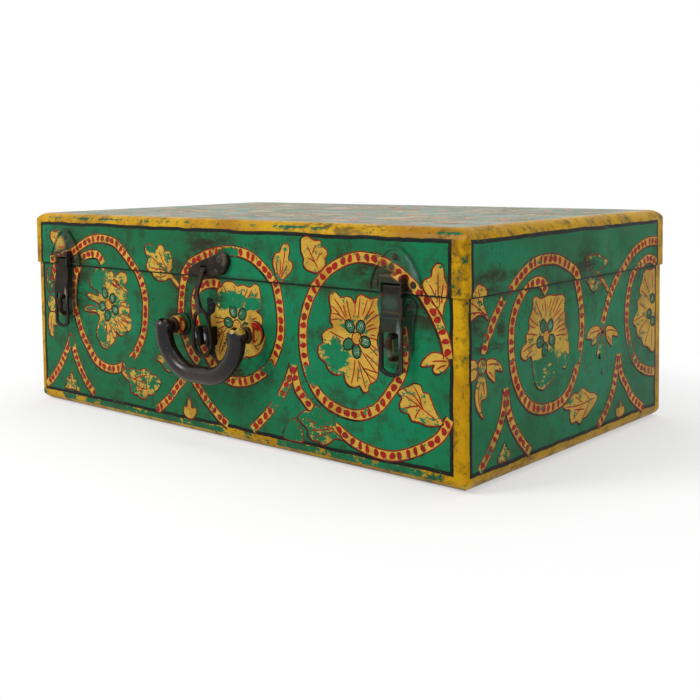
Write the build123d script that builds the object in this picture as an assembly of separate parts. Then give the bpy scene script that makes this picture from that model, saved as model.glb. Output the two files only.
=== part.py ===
from build123d import *
import os
from math import asin, degrees, radians, sin, sqrt

# Small tin trunk: a folded sheet-tin base tray and a shallow lid on two rear hinges,
# three hasps on the front, and a drop handle on two clevis posts.
# Frame: millimetres, +Z up, front face towards -Y, origin at the middle of the underside.
# "out" is a distance in front of the lid's front face; the base's face lies behind it.

os.makedirs("parts", exist_ok=True)

# ---------------------------------------------------------------- driving dimensions
# body
trunk_width = 456.0
trunk_depth = 280.0
trunk_height = 166.0
lid_height = 43.5
sheet = 0.8
lid_overhang = 1.5
edge_radius = 10.0
corner_radius = 4.0
ledge_width = 3.0
seam_gap = 0.3

# tongue strips inside the base walls
strip_end_gap = 14.0
strip_leg = 12.0
strip_joggle = 3.0
strip_rise = 9.5
strip_clearance = 0.2

# rear hinges
hinge_pitch = 300.0
hinge_width = 40.0
hinge_leaf = 1.2
hinge_base_leaf_height = 26.0
hinge_lid_leaf_height = 24.0
knuckle_radius = 2.6
knuckle_count = 5
knuckle_gap = 0.3
hinge_pin_radius = 1.5
hinge_pin_head = 2.4
hinge_leaf_start = 4.0

# rivets
rivet_head = 2.3
rivet_head_height = 1.1
rivet_shank = 1.2
rivet_tail = 1.9
rivet_tail_height = 0.7
shank_clearance = 0.05

# front hardware places
hasp_spread = 0.39
hardware_offset = -4.6
pin_clearance = 0.05
plate_drop = 0.5

# side hasps
lid_plate_half = 21.0
lid_plate_top_half = 6.5
lid_plate_height = 29.5
lid_plate_side = 5.5
lid_plate_thickness = 1.2
lid_plate_bead = 1.0
bead_width = 1.8
hood_half = 8.9
hood_cheek = 1.2
hood_height = 12.5
hood_out = 6.4
hood_wall = 0.9
hood_skirt = 6.6
hood_radius = 2.6
hasp_pin_radius = 1.2
hasp_pin_out = 2.8
hasp_pin_rise = 4.0
hasp_pin_head = 1.55
hasp_pin_head_length = 0.9
hasp_eye = 2.4
hasp_side_gap = 0.2
strap_thickness = 1.4
strap_half = 8.6
strap_shoulder = 6.0
joggle_top = 15.5
joggle_bottom = 20.0
frame_top = 26.0
frame_out = 6.5
frame_half = 9.25
frame_length = 57.5
frame_sag = 3.5
rail = 2.7
window_corner = 2.0

# base plates
base_plate_half = 16.0
base_plate_waist = 12.8
base_plate_waist_drop = 31.0
base_plate_height = 44.0
base_plate_thickness = 1.3
base_plate_gap = 2.0
base_rivet_drop = 6.5
base_rivet_low = 32.0

# staples in the side hasps
staple_wire = 2.0
staple_low = 46.0
staple_high = 31.2
staple_low_out = 6.7
staple_high_out = 8.6
staple_bend = 3.4
staple_peen = 3.2
staple_peen_height = 1.0

# centre lid plate, link and loop
centre_plate_thickness = 3.4
centre_plate_edge = 1.1
centre_pin_radius = 1.1
centre_pin_out = 2.2
centre_pin_rise = 5.5
centre_eye = 2.0
centre_eye_width = 6.2
centre_slot_width = 7.0
centre_slot_below = 2.35
centre_slot_above = 3.2
centre_slot_x = -5.3
big_rivet_head = 3.4
small_rivet_head = 1.7
link_thickness = 2.0
loop_x = -3.0
loop_half = 10.6
loop_rail = 2.6
loop_drop = 59.2
loop_length = 37.0
link_side = ((5.6, 0), (6.9, 5), (9.4, 14), (10.1, 24))
link_left = ((-7.1, -0.1), (-8.2, 8), (-9.1, 16), (-8.0, 22))
link_right = ((-3.5, -0.1), (-4.6, 8), (-5.4, 16), (-3.6, 22))
link_foot_left = -7.0
link_foot_right = 0.6
link_overlap = 4.0

# keeper inside the centre loop
keeper_half = 4.7
keeper_bar = 2.6
keeper_drop = 51.2
keeper_length = 15.0
keeper_low_out = 6.0
keeper_high_out = 7.9
keeper_web_half = 6.2
keeper_web_out = 4.6
keeper_shank = 2.4
keeper_peen = 4.2

# handle and its posts
handle_x = 4.5
post_span = 78.5
post_drop = 38.2
post_flange = 9.0
post_flange_height = 1.8
post_radius = 7.0
post_length = 9.2
post_edge = 0.9
post_neck = 5.4
post_neck_length = 11.4
post_tongue = 5.0
post_tongue_half = 3.6
post_eye = 4.0
post_shank = 3.0
post_peen = 5.0
post_peen_height = 1.2
backing_size = 26.0
backing_thickness = 2.0
backing_corner = 4.0
handle_pin_radius = 1.8
handle_pin_head = 2.5
handle_pin_head_length = 1.1
handle_pin_out = 17.5
handle_slot_gap = 0.35
handle_knob = 7.0
handle_boss = 3.3
handle_boss_half = 7.3
handle_radius = 6.6
handle_drop = 32.2
handle_leg = 13.5
handle_foot = 19.6
handle_knee_radius = 26.0
handle_foot_radius = 30.0

# lid stay on the right wall
stay_radius = 60.0
stay_rise = 22.0
lid_opening = 100.0
stay_thickness = 1.6
stay_width = 10.0
stay_gap = 0.3
stay_end = 6.0
stay_stud = 2.2
stay_slot_clearance = 0.25
stay_rivet = 2.0
stay_collar = 3.4
stay_head = 4.2
stay_head_length = 1.0

# ---------------------------------------------------------------- derived places
base_width = trunk_width - 2 * lid_overhang
base_depth = trunk_depth - 2 * lid_overhang
base_height = trunk_height - lid_height - seam_gap
lid_bottom = base_height + seam_gap
seam_middle = base_height + seam_gap / 2
base_out = -lid_overhang
base_inner_out = base_out - sheet
hinge_y = trunk_depth / 2 + seam_gap + knuckle_radius
hasp_pitch = trunk_width * hasp_spread
hinge_left = -hinge_pitch / 2
hinge_right = hinge_pitch / 2
hasp_left_x = hardware_offset - hasp_pitch
hasp_right_x = hardware_offset + hasp_pitch
hasp_pin_z = lid_bottom + hasp_pin_rise
centre_pin_z = lid_bottom + centre_pin_rise
plate_bottom = lid_bottom + plate_drop
lid_seat = lid_plate_thickness
base_seat = base_out + base_plate_thickness
base_plate_top = base_height - base_plate_gap
strip_low = base_height - sheet - strip_joggle - strip_leg
loop_bottom = base_height - loop_drop
loop_top = loop_bottom + loop_length
keeper_low = base_height - keeper_drop
keeper_high = keeper_low + keeper_length
post_z = base_height - post_drop


def front_plane(out):
    """Upright plane facing the front: local x is X, local y is Z, its normal points out."""
    return Plane(origin=(0, -trunk_depth / 2 - out, 0), x_dir=(1, 0, 0), z_dir=(0, -1, 0))


def rear_plane(y):
    """Upright plane facing the back: local x is -X, local y is Z, its normal is +Y."""
    return Plane(origin=(0, y, 0), x_dir=(-1, 0, 0), z_dir=(0, 1, 0))


def side_profile(x):
    """Plane of a side profile at x: local x is out, local y is Z."""
    return Plane(origin=(x, -trunk_depth / 2, 0), x_dir=(0, -1, 0), z_dir=(-1, 0, 0))


def across(x, sketch, width):
    """A side profile made into a solid of this width, centred on x."""
    return extrude(side_profile(x) * sketch, width / 2, both=True)


def x_rod(x, out, z, radius, length):
    """A round rod along X, centred on x, at this distance out and height."""
    return across(x, Pos(out, z) * Circle(radius), length)


def rectangle_between(x_low, x_high, y_low, y_high):
    """A rectangle given by its sides."""
    centre = Pos((x_low + x_high) / 2, (y_low + y_high) / 2)
    return centre * Rectangle(x_high - x_low, y_high - y_low)


def closed_face(*curves):
    """The face inside curves that join end to end."""
    return make_face([curve.edge() for curve in curves])


def rivet(head, head_height, shank, grip):
    """A domed rivet along Z, its head seated at z = 0 and its tail spread at -grip."""
    tail = shank + rivet_tail - rivet_shank
    dome = closed_face(
        Line((0, -grip - rivet_tail_height), (0, head_height)),
        ThreePointArc((0, head_height), (head * 0.74, head_height * 0.66), (head, 0)),
        Line((head, 0), (shank, 0)),
        Line((shank, 0), (shank, -grip)),
        Line((shank, -grip), (tail, -grip)),
        Line((tail, -grip), (tail, -grip - rivet_tail_height)),
        Line((tail, -grip - rivet_tail_height), (0, -grip - rivet_tail_height)),
    )
    return revolve(Plane.XZ * dome, Axis.Z)


def save(shape, name):
    """Write one sub-part."""
    shape.label = name
    export_step(shape, f"parts/{name}.step")


# ---------------------------------------------------------------- sheet-tin trays
def rounded_rectangle(width, depth, radius):
    """A rectangle with four rounded corners."""
    sketch = Rectangle(width, depth)
    return fillet(sketch.vertices(), radius)


def rounded_block(width, depth, height, edge, corner):
    """A block with its lower long edges and its upright corners rounded."""
    front = Pos(0, height / 2) * Rectangle(width, height)
    front = fillet(front.vertices().group_by(Axis.Y)[0], edge)
    side = Pos(0, height / 2) * Rectangle(depth, height)
    side = fillet(side.vertices().group_by(Axis.Y)[0], edge)
    along = extrude(Plane.XZ * front, depth / 2, both=True)
    across_it = extrude(Plane.YZ * side, width / 2, both=True)
    upright = extrude(rounded_rectangle(width, depth, corner), height)
    return along & across_it & upright


def tray(width, depth, height):
    """An open sheet tray with its top edge turned in as a flat ledge."""
    outside = rounded_block(width, depth, height, edge_radius, corner_radius)
    inside = rounded_block(
        width - 2 * sheet, depth - 2 * sheet, height, edge_radius - sheet, corner_radius - sheet
    )
    ledge = rounded_rectangle(width, depth, corner_radius) - rounded_rectangle(
        width - 2 * ledge_width, depth - 2 * ledge_width, corner_radius - ledge_width
    )
    return (outside - Pos(0, 0, sheet) * inside) + Pos(0, 0, height - sheet) * extrude(ledge, sheet)


def rim_strip(length, wall):
    """A joggled tongue strip along X on the inner face of the wall at y = -wall."""
    inset = ledge_width - sheet + strip_clearance
    low = strip_low
    bend_low = low + strip_leg
    bend_high = base_height - sheet
    top = base_height + strip_rise
    outline = Polyline(
        (0, low),
        (0, bend_low),
        (inset, bend_high),
        (inset, top),
        (inset + sheet, top),
        (inset + sheet, bend_high),
        (sheet, bend_low),
        (sheet, low),
        close=True,
    )
    plane = Plane(origin=(0, -wall, 0), x_dir=(0, 1, 0), z_dir=(1, 0, 0))
    return extrude(plane * make_face(outline), length / 2, both=True)


base_shell = tray(base_width, base_depth, base_height)
lid_shell = Pos(0, 0, trunk_height) * Rot(180, 0, 0) * tray(trunk_width, trunk_depth, lid_height)

strip_places = {
    "front": (base_width, base_depth, 0),
    "right": (base_depth, base_width, 90),
    "back": (base_width, base_depth, 180),
    "left": (base_depth, base_width, 270),
}
strips = {}
for place, (side_length, side_distance, turn) in strip_places.items():
    strip = rim_strip(side_length - 2 * strip_end_gap, side_distance / 2 - sheet)
    strips[place] = Rot(0, 0, turn) * strip


# ---------------------------------------------------------------- rear hinges
def rear_profile(x, points, width):
    """A solid of this width from a side outline of points (y, z), centred on x."""
    plane = Plane(origin=(x, 0, 0), x_dir=(0, 1, 0), z_dir=(1, 0, 0))
    return extrude(plane * make_face(Polyline(*points, close=True)), width / 2, both=True)


def hinge_barrel(x, radius, length):
    """A round barrel along X on the hinge line."""
    plane = Plane(origin=(x, hinge_y, seam_middle), x_dir=(0, 1, 0), z_dir=(1, 0, 0))
    return extrude(plane * Circle(radius), length / 2, both=True)


def hinge_leaf_solid(x, face_y, leaf_height, sign, knuckles):
    """A leaf on the face at face_y, with a bent web up to each of its knuckles."""
    near = seam_middle + sign * hinge_leaf_start
    far = seam_middle + sign * (hinge_leaf_start + leaf_height)
    leaf = rear_profile(
        x,
        [(face_y, near), (face_y + hinge_leaf, near), (face_y + hinge_leaf, far), (face_y, far)],
        hinge_width,
    )
    pitch = hinge_width / knuckle_count
    web = [
        (face_y, seam_middle + sign * (hinge_leaf_start + pitch / 2)),
        (face_y + hinge_leaf, seam_middle + sign * (hinge_leaf_start + pitch / 2)),
        (hinge_y + knuckle_radius * 0.3, seam_middle + sign * knuckle_radius * 0.8),
        (hinge_y - knuckle_radius * 0.7, seam_middle + sign * knuckle_radius * 0.3),
        (face_y, seam_middle + sign * knuckle_radius * 1.4),
    ]
    for index in knuckles:
        place = x - hinge_width / 2 + pitch * (index + 0.5)
        leaf += rear_profile(place, web, pitch - knuckle_gap)
        leaf += hinge_barrel(place, knuckle_radius, pitch - knuckle_gap)
    return leaf - hinge_barrel(x, hinge_pin_radius + pin_clearance, hinge_width * 2)


def hinge_rivet_places(x, sign, leaf_height):
    """Three rivet centres of a leaf: two by the knuckles and one near its far edge."""
    near = seam_middle + sign * (hinge_leaf_start + leaf_height * 0.3)
    far = seam_middle + sign * (hinge_leaf_start + leaf_height * 0.75)
    spread = hinge_width * 0.32
    return [(x - spread, near), (x + spread, near), (x, far)]


def drill_rear(shape, places, y):
    """Cut rivet holes through the sheet and leaf at the back."""
    for x, z in places:
        hole = Cylinder(rivet_shank + shank_clearance, 8 * hinge_leaf)
        shape -= rear_plane(y) * Pos(-x, z) * hole
    return shape


def rear_rivets(places, seat_y, strip_top):
    """Rivets seated on a leaf at the back; those above strip_top also go through the strip."""
    rivets = []
    for x, z in places:
        grip = hinge_leaf + sheet + (sheet if z > strip_top else 0)
        shape = rivet(rivet_head, rivet_head_height, rivet_shank, grip)
        rivets.append(rear_plane(seat_y) * Pos(-x, z) * shape)
    return rivets


base_face_y = base_depth / 2
lid_face_y = trunk_depth / 2
base_knuckles = range(0, knuckle_count, 2)
lid_knuckles = range(1, knuckle_count, 2)
base_hinge_places = []
lid_hinge_places = []
for place, hinge_x in (("left", hinge_left), ("right", hinge_right)):
    low_places = hinge_rivet_places(hinge_x, -1, hinge_base_leaf_height)
    high_places = hinge_rivet_places(hinge_x, 1, hinge_lid_leaf_height)
    base_hinge_places += low_places
    lid_hinge_places += high_places
    low_leaf = hinge_leaf_solid(hinge_x, base_face_y, hinge_base_leaf_height, -1, base_knuckles)
    high_leaf = hinge_leaf_solid(hinge_x, lid_face_y, hinge_lid_leaf_height, 1, lid_knuckles)
    save(drill_rear(low_leaf, low_places, base_face_y), f"hinge_base_leaf_{place}")
    save(drill_rear(high_leaf, high_places, lid_face_y), f"hinge_lid_leaf_{place}")
    pin = hinge_barrel(hinge_x, hinge_pin_radius, hinge_width)
    for end in (-1, 1):
        head_x = hinge_x + end * (hinge_width / 2 + hinge_pin_radius / 2)
        pin += hinge_barrel(head_x, hinge_pin_head, hinge_pin_radius)
    save(pin, f"hinge_pin_{place}")

base_shell = drill_rear(base_shell, base_hinge_places, base_face_y)
lid_shell = drill_rear(lid_shell, lid_hinge_places, lid_face_y)
strips["back"] = drill_rear(strips["back"], base_hinge_places, base_face_y)
low_rivets = rear_rivets(base_hinge_places, base_face_y + hinge_leaf, strip_low)
high_rivets = rear_rivets(lid_hinge_places, lid_face_y + hinge_leaf, trunk_height)
save(Compound(children=low_rivets), "hinge_base_rivets")
save(Compound(children=high_rivets), "hinge_lid_rivets")


# ---------------------------------------------------------------- rivets on the front
def front_hole(x, z, radius, out):
    """A cutter for a round hole in what lies near this distance out."""
    return front_plane(out) * Pos(x, z) * Cylinder(radius, 8 * lid_overhang)


def front_rivet(x, z, seat, back, head):
    """A rivet from its seat on a plate to the inside of the sheet."""
    shape = rivet(head, rivet_head_height, rivet_shank, seat - back)
    return front_plane(seat) * Pos(x, z) * shape


lid_rivets = []
base_rivets = []


# ---------------------------------------------------------------- side hasps
def lid_plate_outline(x, inset):
    """A shield outline, wide at the lid's lower edge and narrow at the top."""
    half = lid_plate_half - inset
    top_half = lid_plate_top_half - inset / 2
    low = plate_bottom + inset
    side = plate_bottom + lid_plate_side
    high = plate_bottom + lid_plate_height - inset
    shoulder = high - top_half / 4
    middle_x = (half + top_half) / 2 + 1.4
    middle_z = side + (shoulder - side) * 0.55
    return Pos(x, 0) * closed_face(
        Line((-half, low), (half, low)),
        Line((half, low), (half, side)),
        ThreePointArc((half, side), (middle_x, middle_z), (top_half, shoulder)),
        ThreePointArc((top_half, shoulder), (0, high), (-top_half, shoulder)),
        ThreePointArc((-top_half, shoulder), (-middle_x, middle_z), (-half, side)),
        Line((-half, side), (-half, low)),
    )


def side_lid_plate(x):
    """The pressed shield plate with a beaded edge and a hood over the hasp's knuckle."""
    outline = lid_plate_outline(x, 0)
    plate = extrude(front_plane(0) * outline, lid_plate_thickness)
    step = bead_width / 4
    for inset, width, height in ((0, bead_width, 0.6), (step, bead_width - 2 * step, 1.0)):
        ring = lid_plate_outline(x, inset) - lid_plate_outline(x, inset + width)
        plate += extrude(front_plane(lid_plate_thickness) * ring, lid_plate_bead * height)
    hood_top = plate_bottom + hood_height
    shape = rectangle_between(0, hood_out, plate_bottom, hood_top)
    shape = fillet(shape.vertices().sort_by(Axis.X)[2:].sort_by(Axis.Y)[-1], hood_radius)
    hood = across(x, shape, 2 * hood_half)
    cheek_inner = hood_half - hood_cheek
    room = rectangle_between(-1, hood_out - hood_wall, -hood_out, hood_top - hood_cheek)
    room = fillet(room.vertices().sort_by(Axis.X)[2:].sort_by(Axis.Y)[-1], hood_radius - hood_wall)
    mouth = rectangle_between(-1, 2 * hood_out, -hood_out, plate_bottom + hood_skirt)
    plate -= across(x, rectangle_between(lid_plate_thickness, hood_out, 0, hood_top), 2 * hood_half)
    plate += hood
    plate -= across(x, room, 2 * cheek_inner)
    plate -= across(x, mouth, 2 * cheek_inner)
    return plate - x_rod(x, hasp_pin_out, hasp_pin_z, hasp_pin_radius + pin_clearance, 3 * hood_half)


def hasp_pin(x):
    """The riveted pin through the hood's cheeks."""
    pin = x_rod(x, hasp_pin_out, hasp_pin_z, hasp_pin_radius, 2 * hood_half)
    for end in (-1, 1):
        head_x = x + end * (hood_half + hasp_pin_head_length / 2)
        pin += x_rod(head_x, hasp_pin_out, hasp_pin_z, hasp_pin_head, hasp_pin_head_length)
    return pin


def frame_outline(half, top, bottom, sag, corner):
    """A frame's outline with a sagging lower edge and rounded upper corners."""
    sketch = closed_face(
        Line((-half, bottom + sag), (-half, top)),
        Line((-half, top), (half, top)),
        Line((half, top), (half, bottom + sag)),
        ThreePointArc((half, bottom + sag), (0, bottom), (-half, bottom + sag)),
    )
    return fillet(sketch.vertices().group_by(Axis.Y)[-1], corner)


def side_hasp(x):
    """A strap rolled round its pin, joggled outwards and ending in a window frame."""
    knuckle_half = hood_half - hood_cheek - hasp_side_gap
    strap_out = hasp_pin_out + hasp_eye
    low = hasp_pin_z - frame_length
    outer = [
        (strap_out, hasp_pin_z),
        (strap_out, hasp_pin_z - joggle_top),
        (frame_out, hasp_pin_z - joggle_bottom),
        (frame_out, low - 1.0),
    ]
    inner = [(out - strap_thickness, z) for out, z in reversed(outer)]
    strip = across(x, make_face(Polyline(*outer, *inner, close=True)), 4 * hood_half)
    shoulder = hasp_pin_z - strap_shoulder
    strap = rectangle_between(-knuckle_half, knuckle_half, shoulder, hasp_pin_z)
    strap += rectangle_between(-strap_half, strap_half, hasp_pin_z - frame_top - rail, shoulder)
    frame = frame_outline(frame_half, hasp_pin_z - frame_top + rail, low, frame_sag, rail)
    window = frame_outline(
        frame_half - rail, hasp_pin_z - frame_top - rail, low + rail, frame_sag * 0.8, window_corner
    )
    front = extrude(front_plane(0) * (Pos(x, 0) * (strap + frame - window)), 2 * frame_out)
    hasp = (strip & front) + x_rod(x, hasp_pin_out, hasp_pin_z, hasp_eye, 2 * knuckle_half)
    return hasp - x_rod(x, hasp_pin_out, hasp_pin_z, hasp_pin_radius + pin_clearance, 3 * hood_half)


def base_plate(x):
    """An inverted shield on the base behind a staple, wide at the top and waisted below."""
    half = base_plate_half
    waist = base_plate_waist
    top = base_plate_top
    low = base_plate_top - base_plate_height
    waist_z = top - base_plate_waist_drop
    turn_z = low + (waist_z - low) * 0.35
    outline = closed_face(
        Line((-half * 0.6, top), (half * 0.6, top)),
        ThreePointArc((half * 0.6, top), (half * 0.9, top - half * 0.12), (half, top - half * 0.4)),
        ThreePointArc((half, top - half * 0.4), (half * 0.875, top - half), (waist, waist_z)),
        ThreePointArc((waist, waist_z), (waist * 0.76, turn_z), (0, low)),
        ThreePointArc((0, low), (-waist * 0.76, turn_z), (-waist, waist_z)),
        ThreePointArc((-waist, waist_z), (-half * 0.875, top - half), (-half, top - half * 0.4)),
        ThreePointArc((-half, top - half * 0.4), (-half * 0.9, top - half * 0.12), (-half * 0.6, top)),
    )
    return extrude(front_plane(base_out) * Pos(x, 0) * outline, base_plate_thickness)


def staple(x):
    """A round-wire loop through plate and wall, leaning out towards its top, peened inside."""
    low = hasp_pin_z - staple_low
    high = hasp_pin_z - staple_high
    back = base_inner_out - staple_peen_height
    path = FilletPolyline(
        (back, low), (staple_low_out, low), (staple_high_out, high), (back, high), radius=staple_bend
    )
    path = side_profile(x) * path
    start = Plane(origin=path @ 0, z_dir=path % 0)
    loop = sweep(start * Circle(staple_wire), path=path)
    for z in (low, high):
        loop += front_plane(back) * Pos(x, z) * extrude(Circle(staple_peen), staple_peen_height)
    return loop


lid_plates = {}
base_plates = {}
for place, hasp_x in (("left", hasp_left_x), ("right", hasp_right_x)):
    lid_plates[place] = side_lid_plate(hasp_x)
    base_plates[place] = base_plate(hasp_x)
    save(hasp_pin(hasp_x), f"hasp_pin_{place}")
    save(side_hasp(hasp_x), f"hasp_{place}")
    save(staple(hasp_x), f"staple_{place}")
    for leg in (staple_low, staple_high):
        cutter = front_hole(hasp_x, hasp_pin_z - leg, staple_wire + shank_clearance, base_out)
        base_plates[place] -= cutter
        base_shell -= cutter
    spread = lid_plate_half * 0.7
    for x, z in (
        (hasp_x, plate_bottom + lid_plate_height - lid_plate_top_half),
        (hasp_x - spread, plate_bottom + lid_plate_side),
        (hasp_x + spread, plate_bottom + lid_plate_side),
    ):
        cutter = front_hole(x, z, rivet_shank + shank_clearance, 0)
        lid_plates[place] -= cutter
        lid_shell -= cutter
        lid_rivets.append(front_rivet(x, z, lid_seat, -sheet, rivet_head))
    spread = base_plate_half * 0.58
    for x, z, back in (
        (hasp_x - spread, base_plate_top - base_rivet_drop, base_inner_out - sheet),
        (hasp_x + spread, base_plate_top - base_rivet_drop, base_inner_out - sheet),
        (hasp_x - spread, base_plate_top - base_rivet_low, base_inner_out),
        (hasp_x + spread, base_plate_top - base_rivet_low, base_inner_out),
    ):
        cutter = front_hole(x, z, rivet_shank + shank_clearance, base_out)
        base_plates[place] -= cutter
        base_shell -= cutter
        strips["front"] -= cutter
        base_rivets.append(front_rivet(x, z, base_seat, back, rivet_head))


# ---------------------------------------------------------------- centre hasp
def centre_lid_plate():
    """A forged pear-shaped plate lying on its side, with a slot for the link's hooked end."""
    top = [(-22.4, 5), (-17, 8), (-9, 11.4), (0, 14.5), (9, 17.6), (14.5, 19), (19, 17)]
    right = [(19, 17), (20.5, 12.5), (18.5, 6.5), (13, 2)]
    outline = closed_face(
        Spline(*[(x, plate_bottom + z) for x, z in top]),
        Spline(*[(x, plate_bottom + z) for x, z in right]),
        Line((13, plate_bottom + 2), (4, plate_bottom)),
        Line((4, plate_bottom), (-18.4, plate_bottom)),
        ThreePointArc(
            (-18.4, plate_bottom), (-22, plate_bottom + 1.6), (-22.4, plate_bottom + 5)
        ),
    )
    plate = extrude(front_plane(0) * outline, centre_plate_thickness)
    plate = fillet(plate.edges().group_by(Axis.Y)[0], centre_plate_edge)
    slot = rectangle_between(
        centre_slot_x - centre_slot_width / 2,
        centre_slot_x + centre_slot_width / 2,
        centre_pin_z - centre_slot_below,
        centre_pin_z + centre_slot_above,
    )
    plate -= extrude(front_plane(0) * slot, 2 * centre_plate_thickness)
    bore = centre_pin_radius + pin_clearance
    return plate - x_rod(centre_slot_x, centre_pin_out, centre_pin_z, bore, 2 * centre_slot_width)


def centre_hasp():
    """A narrow bowed link from the lid plate down to a pear-shaped loop."""
    eye_out = centre_pin_out + centre_eye
    start = centre_pin_z - centre_eye
    outer = [(out, start - drop) for out, drop in link_side]
    outer.append((link_side[-1][0], loop_bottom - 1))
    inner = [(out - link_thickness, z) for out, z in reversed(outer)]
    strip = closed_face(
        Spline(*outer), Line(outer[-1], inner[0]), Spline(*inner), Line(inner[-1], outer[0])
    )
    foot = loop_top - link_overlap
    left = [(x, start - drop) for x, drop in link_left] + [(link_foot_left, foot)]
    right = [(x, start - drop) for x, drop in link_right] + [(link_foot_right, foot)]
    link = closed_face(
        Spline(*left), Line(left[-1], right[-1]), Spline(*right), Line(right[0], left[0])
    )
    solid = across(loop_x, strip, 4 * loop_half) & extrude(
        front_plane(0) * (link + (loop_outline(0) - loop_outline(loop_rail))), 3 * eye_out
    )
    neck = Polyline(
        (centre_pin_out, start),
        (eye_out - 0.6, start - 0.05),
        (eye_out - 0.6, start - 1.2),
        (outer[0][0] + 0.1, start - 1.2),
        (outer[0][0], start + 0.2),
        (eye_out, centre_pin_z),
        (centre_pin_out, centre_pin_z),
        close=True,
    )
    width = link_width()
    solid += across(centre_slot_x, make_face(neck), width)
    solid += x_rod(centre_slot_x, centre_pin_out, centre_pin_z, centre_eye, centre_eye_width)
    bore = centre_pin_radius + pin_clearance
    return solid - x_rod(centre_slot_x, centre_pin_out, centre_pin_z, bore, 2 * centre_slot_width)


def link_width():
    """The width of the link where it leaves its eye."""
    return centre_eye_width * 0.58


def loop_outline(inset):
    """The pear outline of the loop, narrow at the top, drawn in by inset."""
    half = loop_half - inset
    low = loop_bottom + inset
    high = loop_top - inset
    return Pos(loop_x, 0) * closed_face(
        ThreePointArc((-half, low + 12), (0, low), (half, low + 12)),
        Spline((half, low + 12), (half * 0.86, low + 23), (0, high), tangents=((0, 1), (-1, 0.2))),
        Spline((0, high), (-half * 0.86, low + 23), (-half, low + 12), tangents=((-1, -0.2), (0, -1))),
    )


def keeper():
    """Two bright upright bars joined by a web, leaning out towards the top, peened inside."""
    lean = degrees(asin((keeper_high_out - keeper_low_out) / (keeper_high - keeper_low)))
    middle_out = (keeper_low_out + keeper_high_out) / 2
    middle_z = (keeper_low + keeper_high) / 2
    web = rectangle_between(
        loop_x - keeper_web_half, loop_x + keeper_web_half, keeper_low + 0.6, keeper_high - 0.6
    )
    solid = extrude(front_plane(base_out) * web, keeper_web_out - base_out)
    bar = Rot(lean, 0, 0) * Cylinder(keeper_bar, keeper_high - keeper_low)
    bar = chamfer(bar.edges().filter_by(GeomType.CIRCLE), keeper_bar * 0.2)
    for end in (-1, 1):
        place = (loop_x + end * keeper_half, -trunk_depth / 2 - middle_out, middle_z)
        solid += Pos(*place) * bar
    depth = sheet + staple_peen_height
    shank = Cylinder(keeper_shank, depth, align=(Align.CENTER, Align.CENTER, Align.MAX))
    solid += front_plane(base_out) * Pos(loop_x, middle_z) * shank
    peen = extrude(Circle(keeper_peen), staple_peen_height)
    return solid + front_plane(base_inner_out - staple_peen_height) * Pos(loop_x, middle_z) * peen


centre_plate = centre_lid_plate()
for x, z, head in (
    (12.4, plate_bottom + 13.4, big_rivet_head),
    (8.4, plate_bottom + 5.0, small_rivet_head),
):
    cutter = front_hole(x, z, rivet_shank + shank_clearance, 0)
    centre_plate -= cutter
    lid_shell -= cutter
    lid_rivets.append(front_rivet(x, z, centre_plate_thickness, -sheet, head))
save(centre_plate, "lid_plate_centre")
save(
    x_rod(centre_slot_x, centre_pin_out, centre_pin_z, centre_pin_radius, 1.8 * centre_slot_width),
    "hasp_pin_centre",
)
save(centre_hasp(), "hasp_centre")
save(keeper(), "keeper_centre")
keeper_middle = (keeper_low + keeper_high) / 2
base_shell -= front_hole(loop_x, keeper_middle, keeper_shank + shank_clearance, base_out)

save(lid_plates["left"], "lid_plate_left")
save(lid_plates["right"], "lid_plate_right")
save(base_plates["left"], "base_plate_left")
save(base_plates["right"], "base_plate_right")
save(Compound(children=lid_rivets), "lid_plate_rivets")
save(Compound(children=base_rivets), "base_plate_rivets")


# ---------------------------------------------------------------- handle
def upright_disc(radius, low, high, cut):
    """A disc along Z between two heights, its upper edge chamfered by this cut."""
    disc = Pos(0, 0, low) * Cylinder(radius, high - low, align=(Align.CENTER, Align.CENTER, Align.MIN))
    return chamfer(disc.edges().group_by(Axis.Z)[-1], cut)


def handle_post():
    """A turned post along Z from the base's face, flattened to an eye for the handle's pin."""
    pin_height = handle_pin_out - base_out
    body = upright_disc(post_radius, 0, post_length, post_edge)
    body += upright_disc(post_flange, 0, post_flange_height, post_flange_height * 0.4)
    body += upright_disc(post_neck, 0, post_neck_length, post_edge)
    body += Pos(0, 0, pin_height / 2) * Box(post_tongue, 2 * post_tongue_half, pin_height)
    body += Pos(0, 0, pin_height) * Rot(0, 90, 0) * Cylinder(post_eye, post_tongue)
    bore = Cylinder(handle_pin_radius + pin_clearance, 3 * post_tongue)
    body -= Pos(0, 0, pin_height) * Rot(0, 90, 0) * bore
    grip = sheet + backing_thickness
    low = Align.MAX
    body += Cylinder(post_shank, grip, align=(Align.CENTER, Align.CENTER, low))
    peen = Cylinder(post_peen, post_peen_height, align=(Align.CENTER, Align.CENTER, low))
    return body + Pos(0, 0, -grip) * peen


def handle_pin(x):
    """The cross pin of one handle end with its two domed heads."""
    pin = x_rod(x, handle_pin_out, post_z, handle_pin_radius, 2 * handle_boss_half)
    for end in (-1, 1):
        head_x = x + end * (handle_boss_half + handle_pin_head_length / 2)
        head = x_rod(head_x, handle_pin_out, post_z, handle_pin_head, handle_pin_head_length)
        far = head.edges().group_by(Axis.X)[-1 if end > 0 else 0]
        pin += fillet(far, handle_pin_head_length * 0.6)
    return pin


def handle_end(side):
    """The knob at one end of the handle, with a flat boss for each head of its pin."""
    x = handle_x + side * post_span / 2
    knob = Pos(x, -trunk_depth / 2 - handle_pin_out, post_z) * Sphere(handle_knob)
    return knob + x_rod(x, handle_pin_out, post_z, handle_boss, 2 * handle_boss_half)


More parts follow.
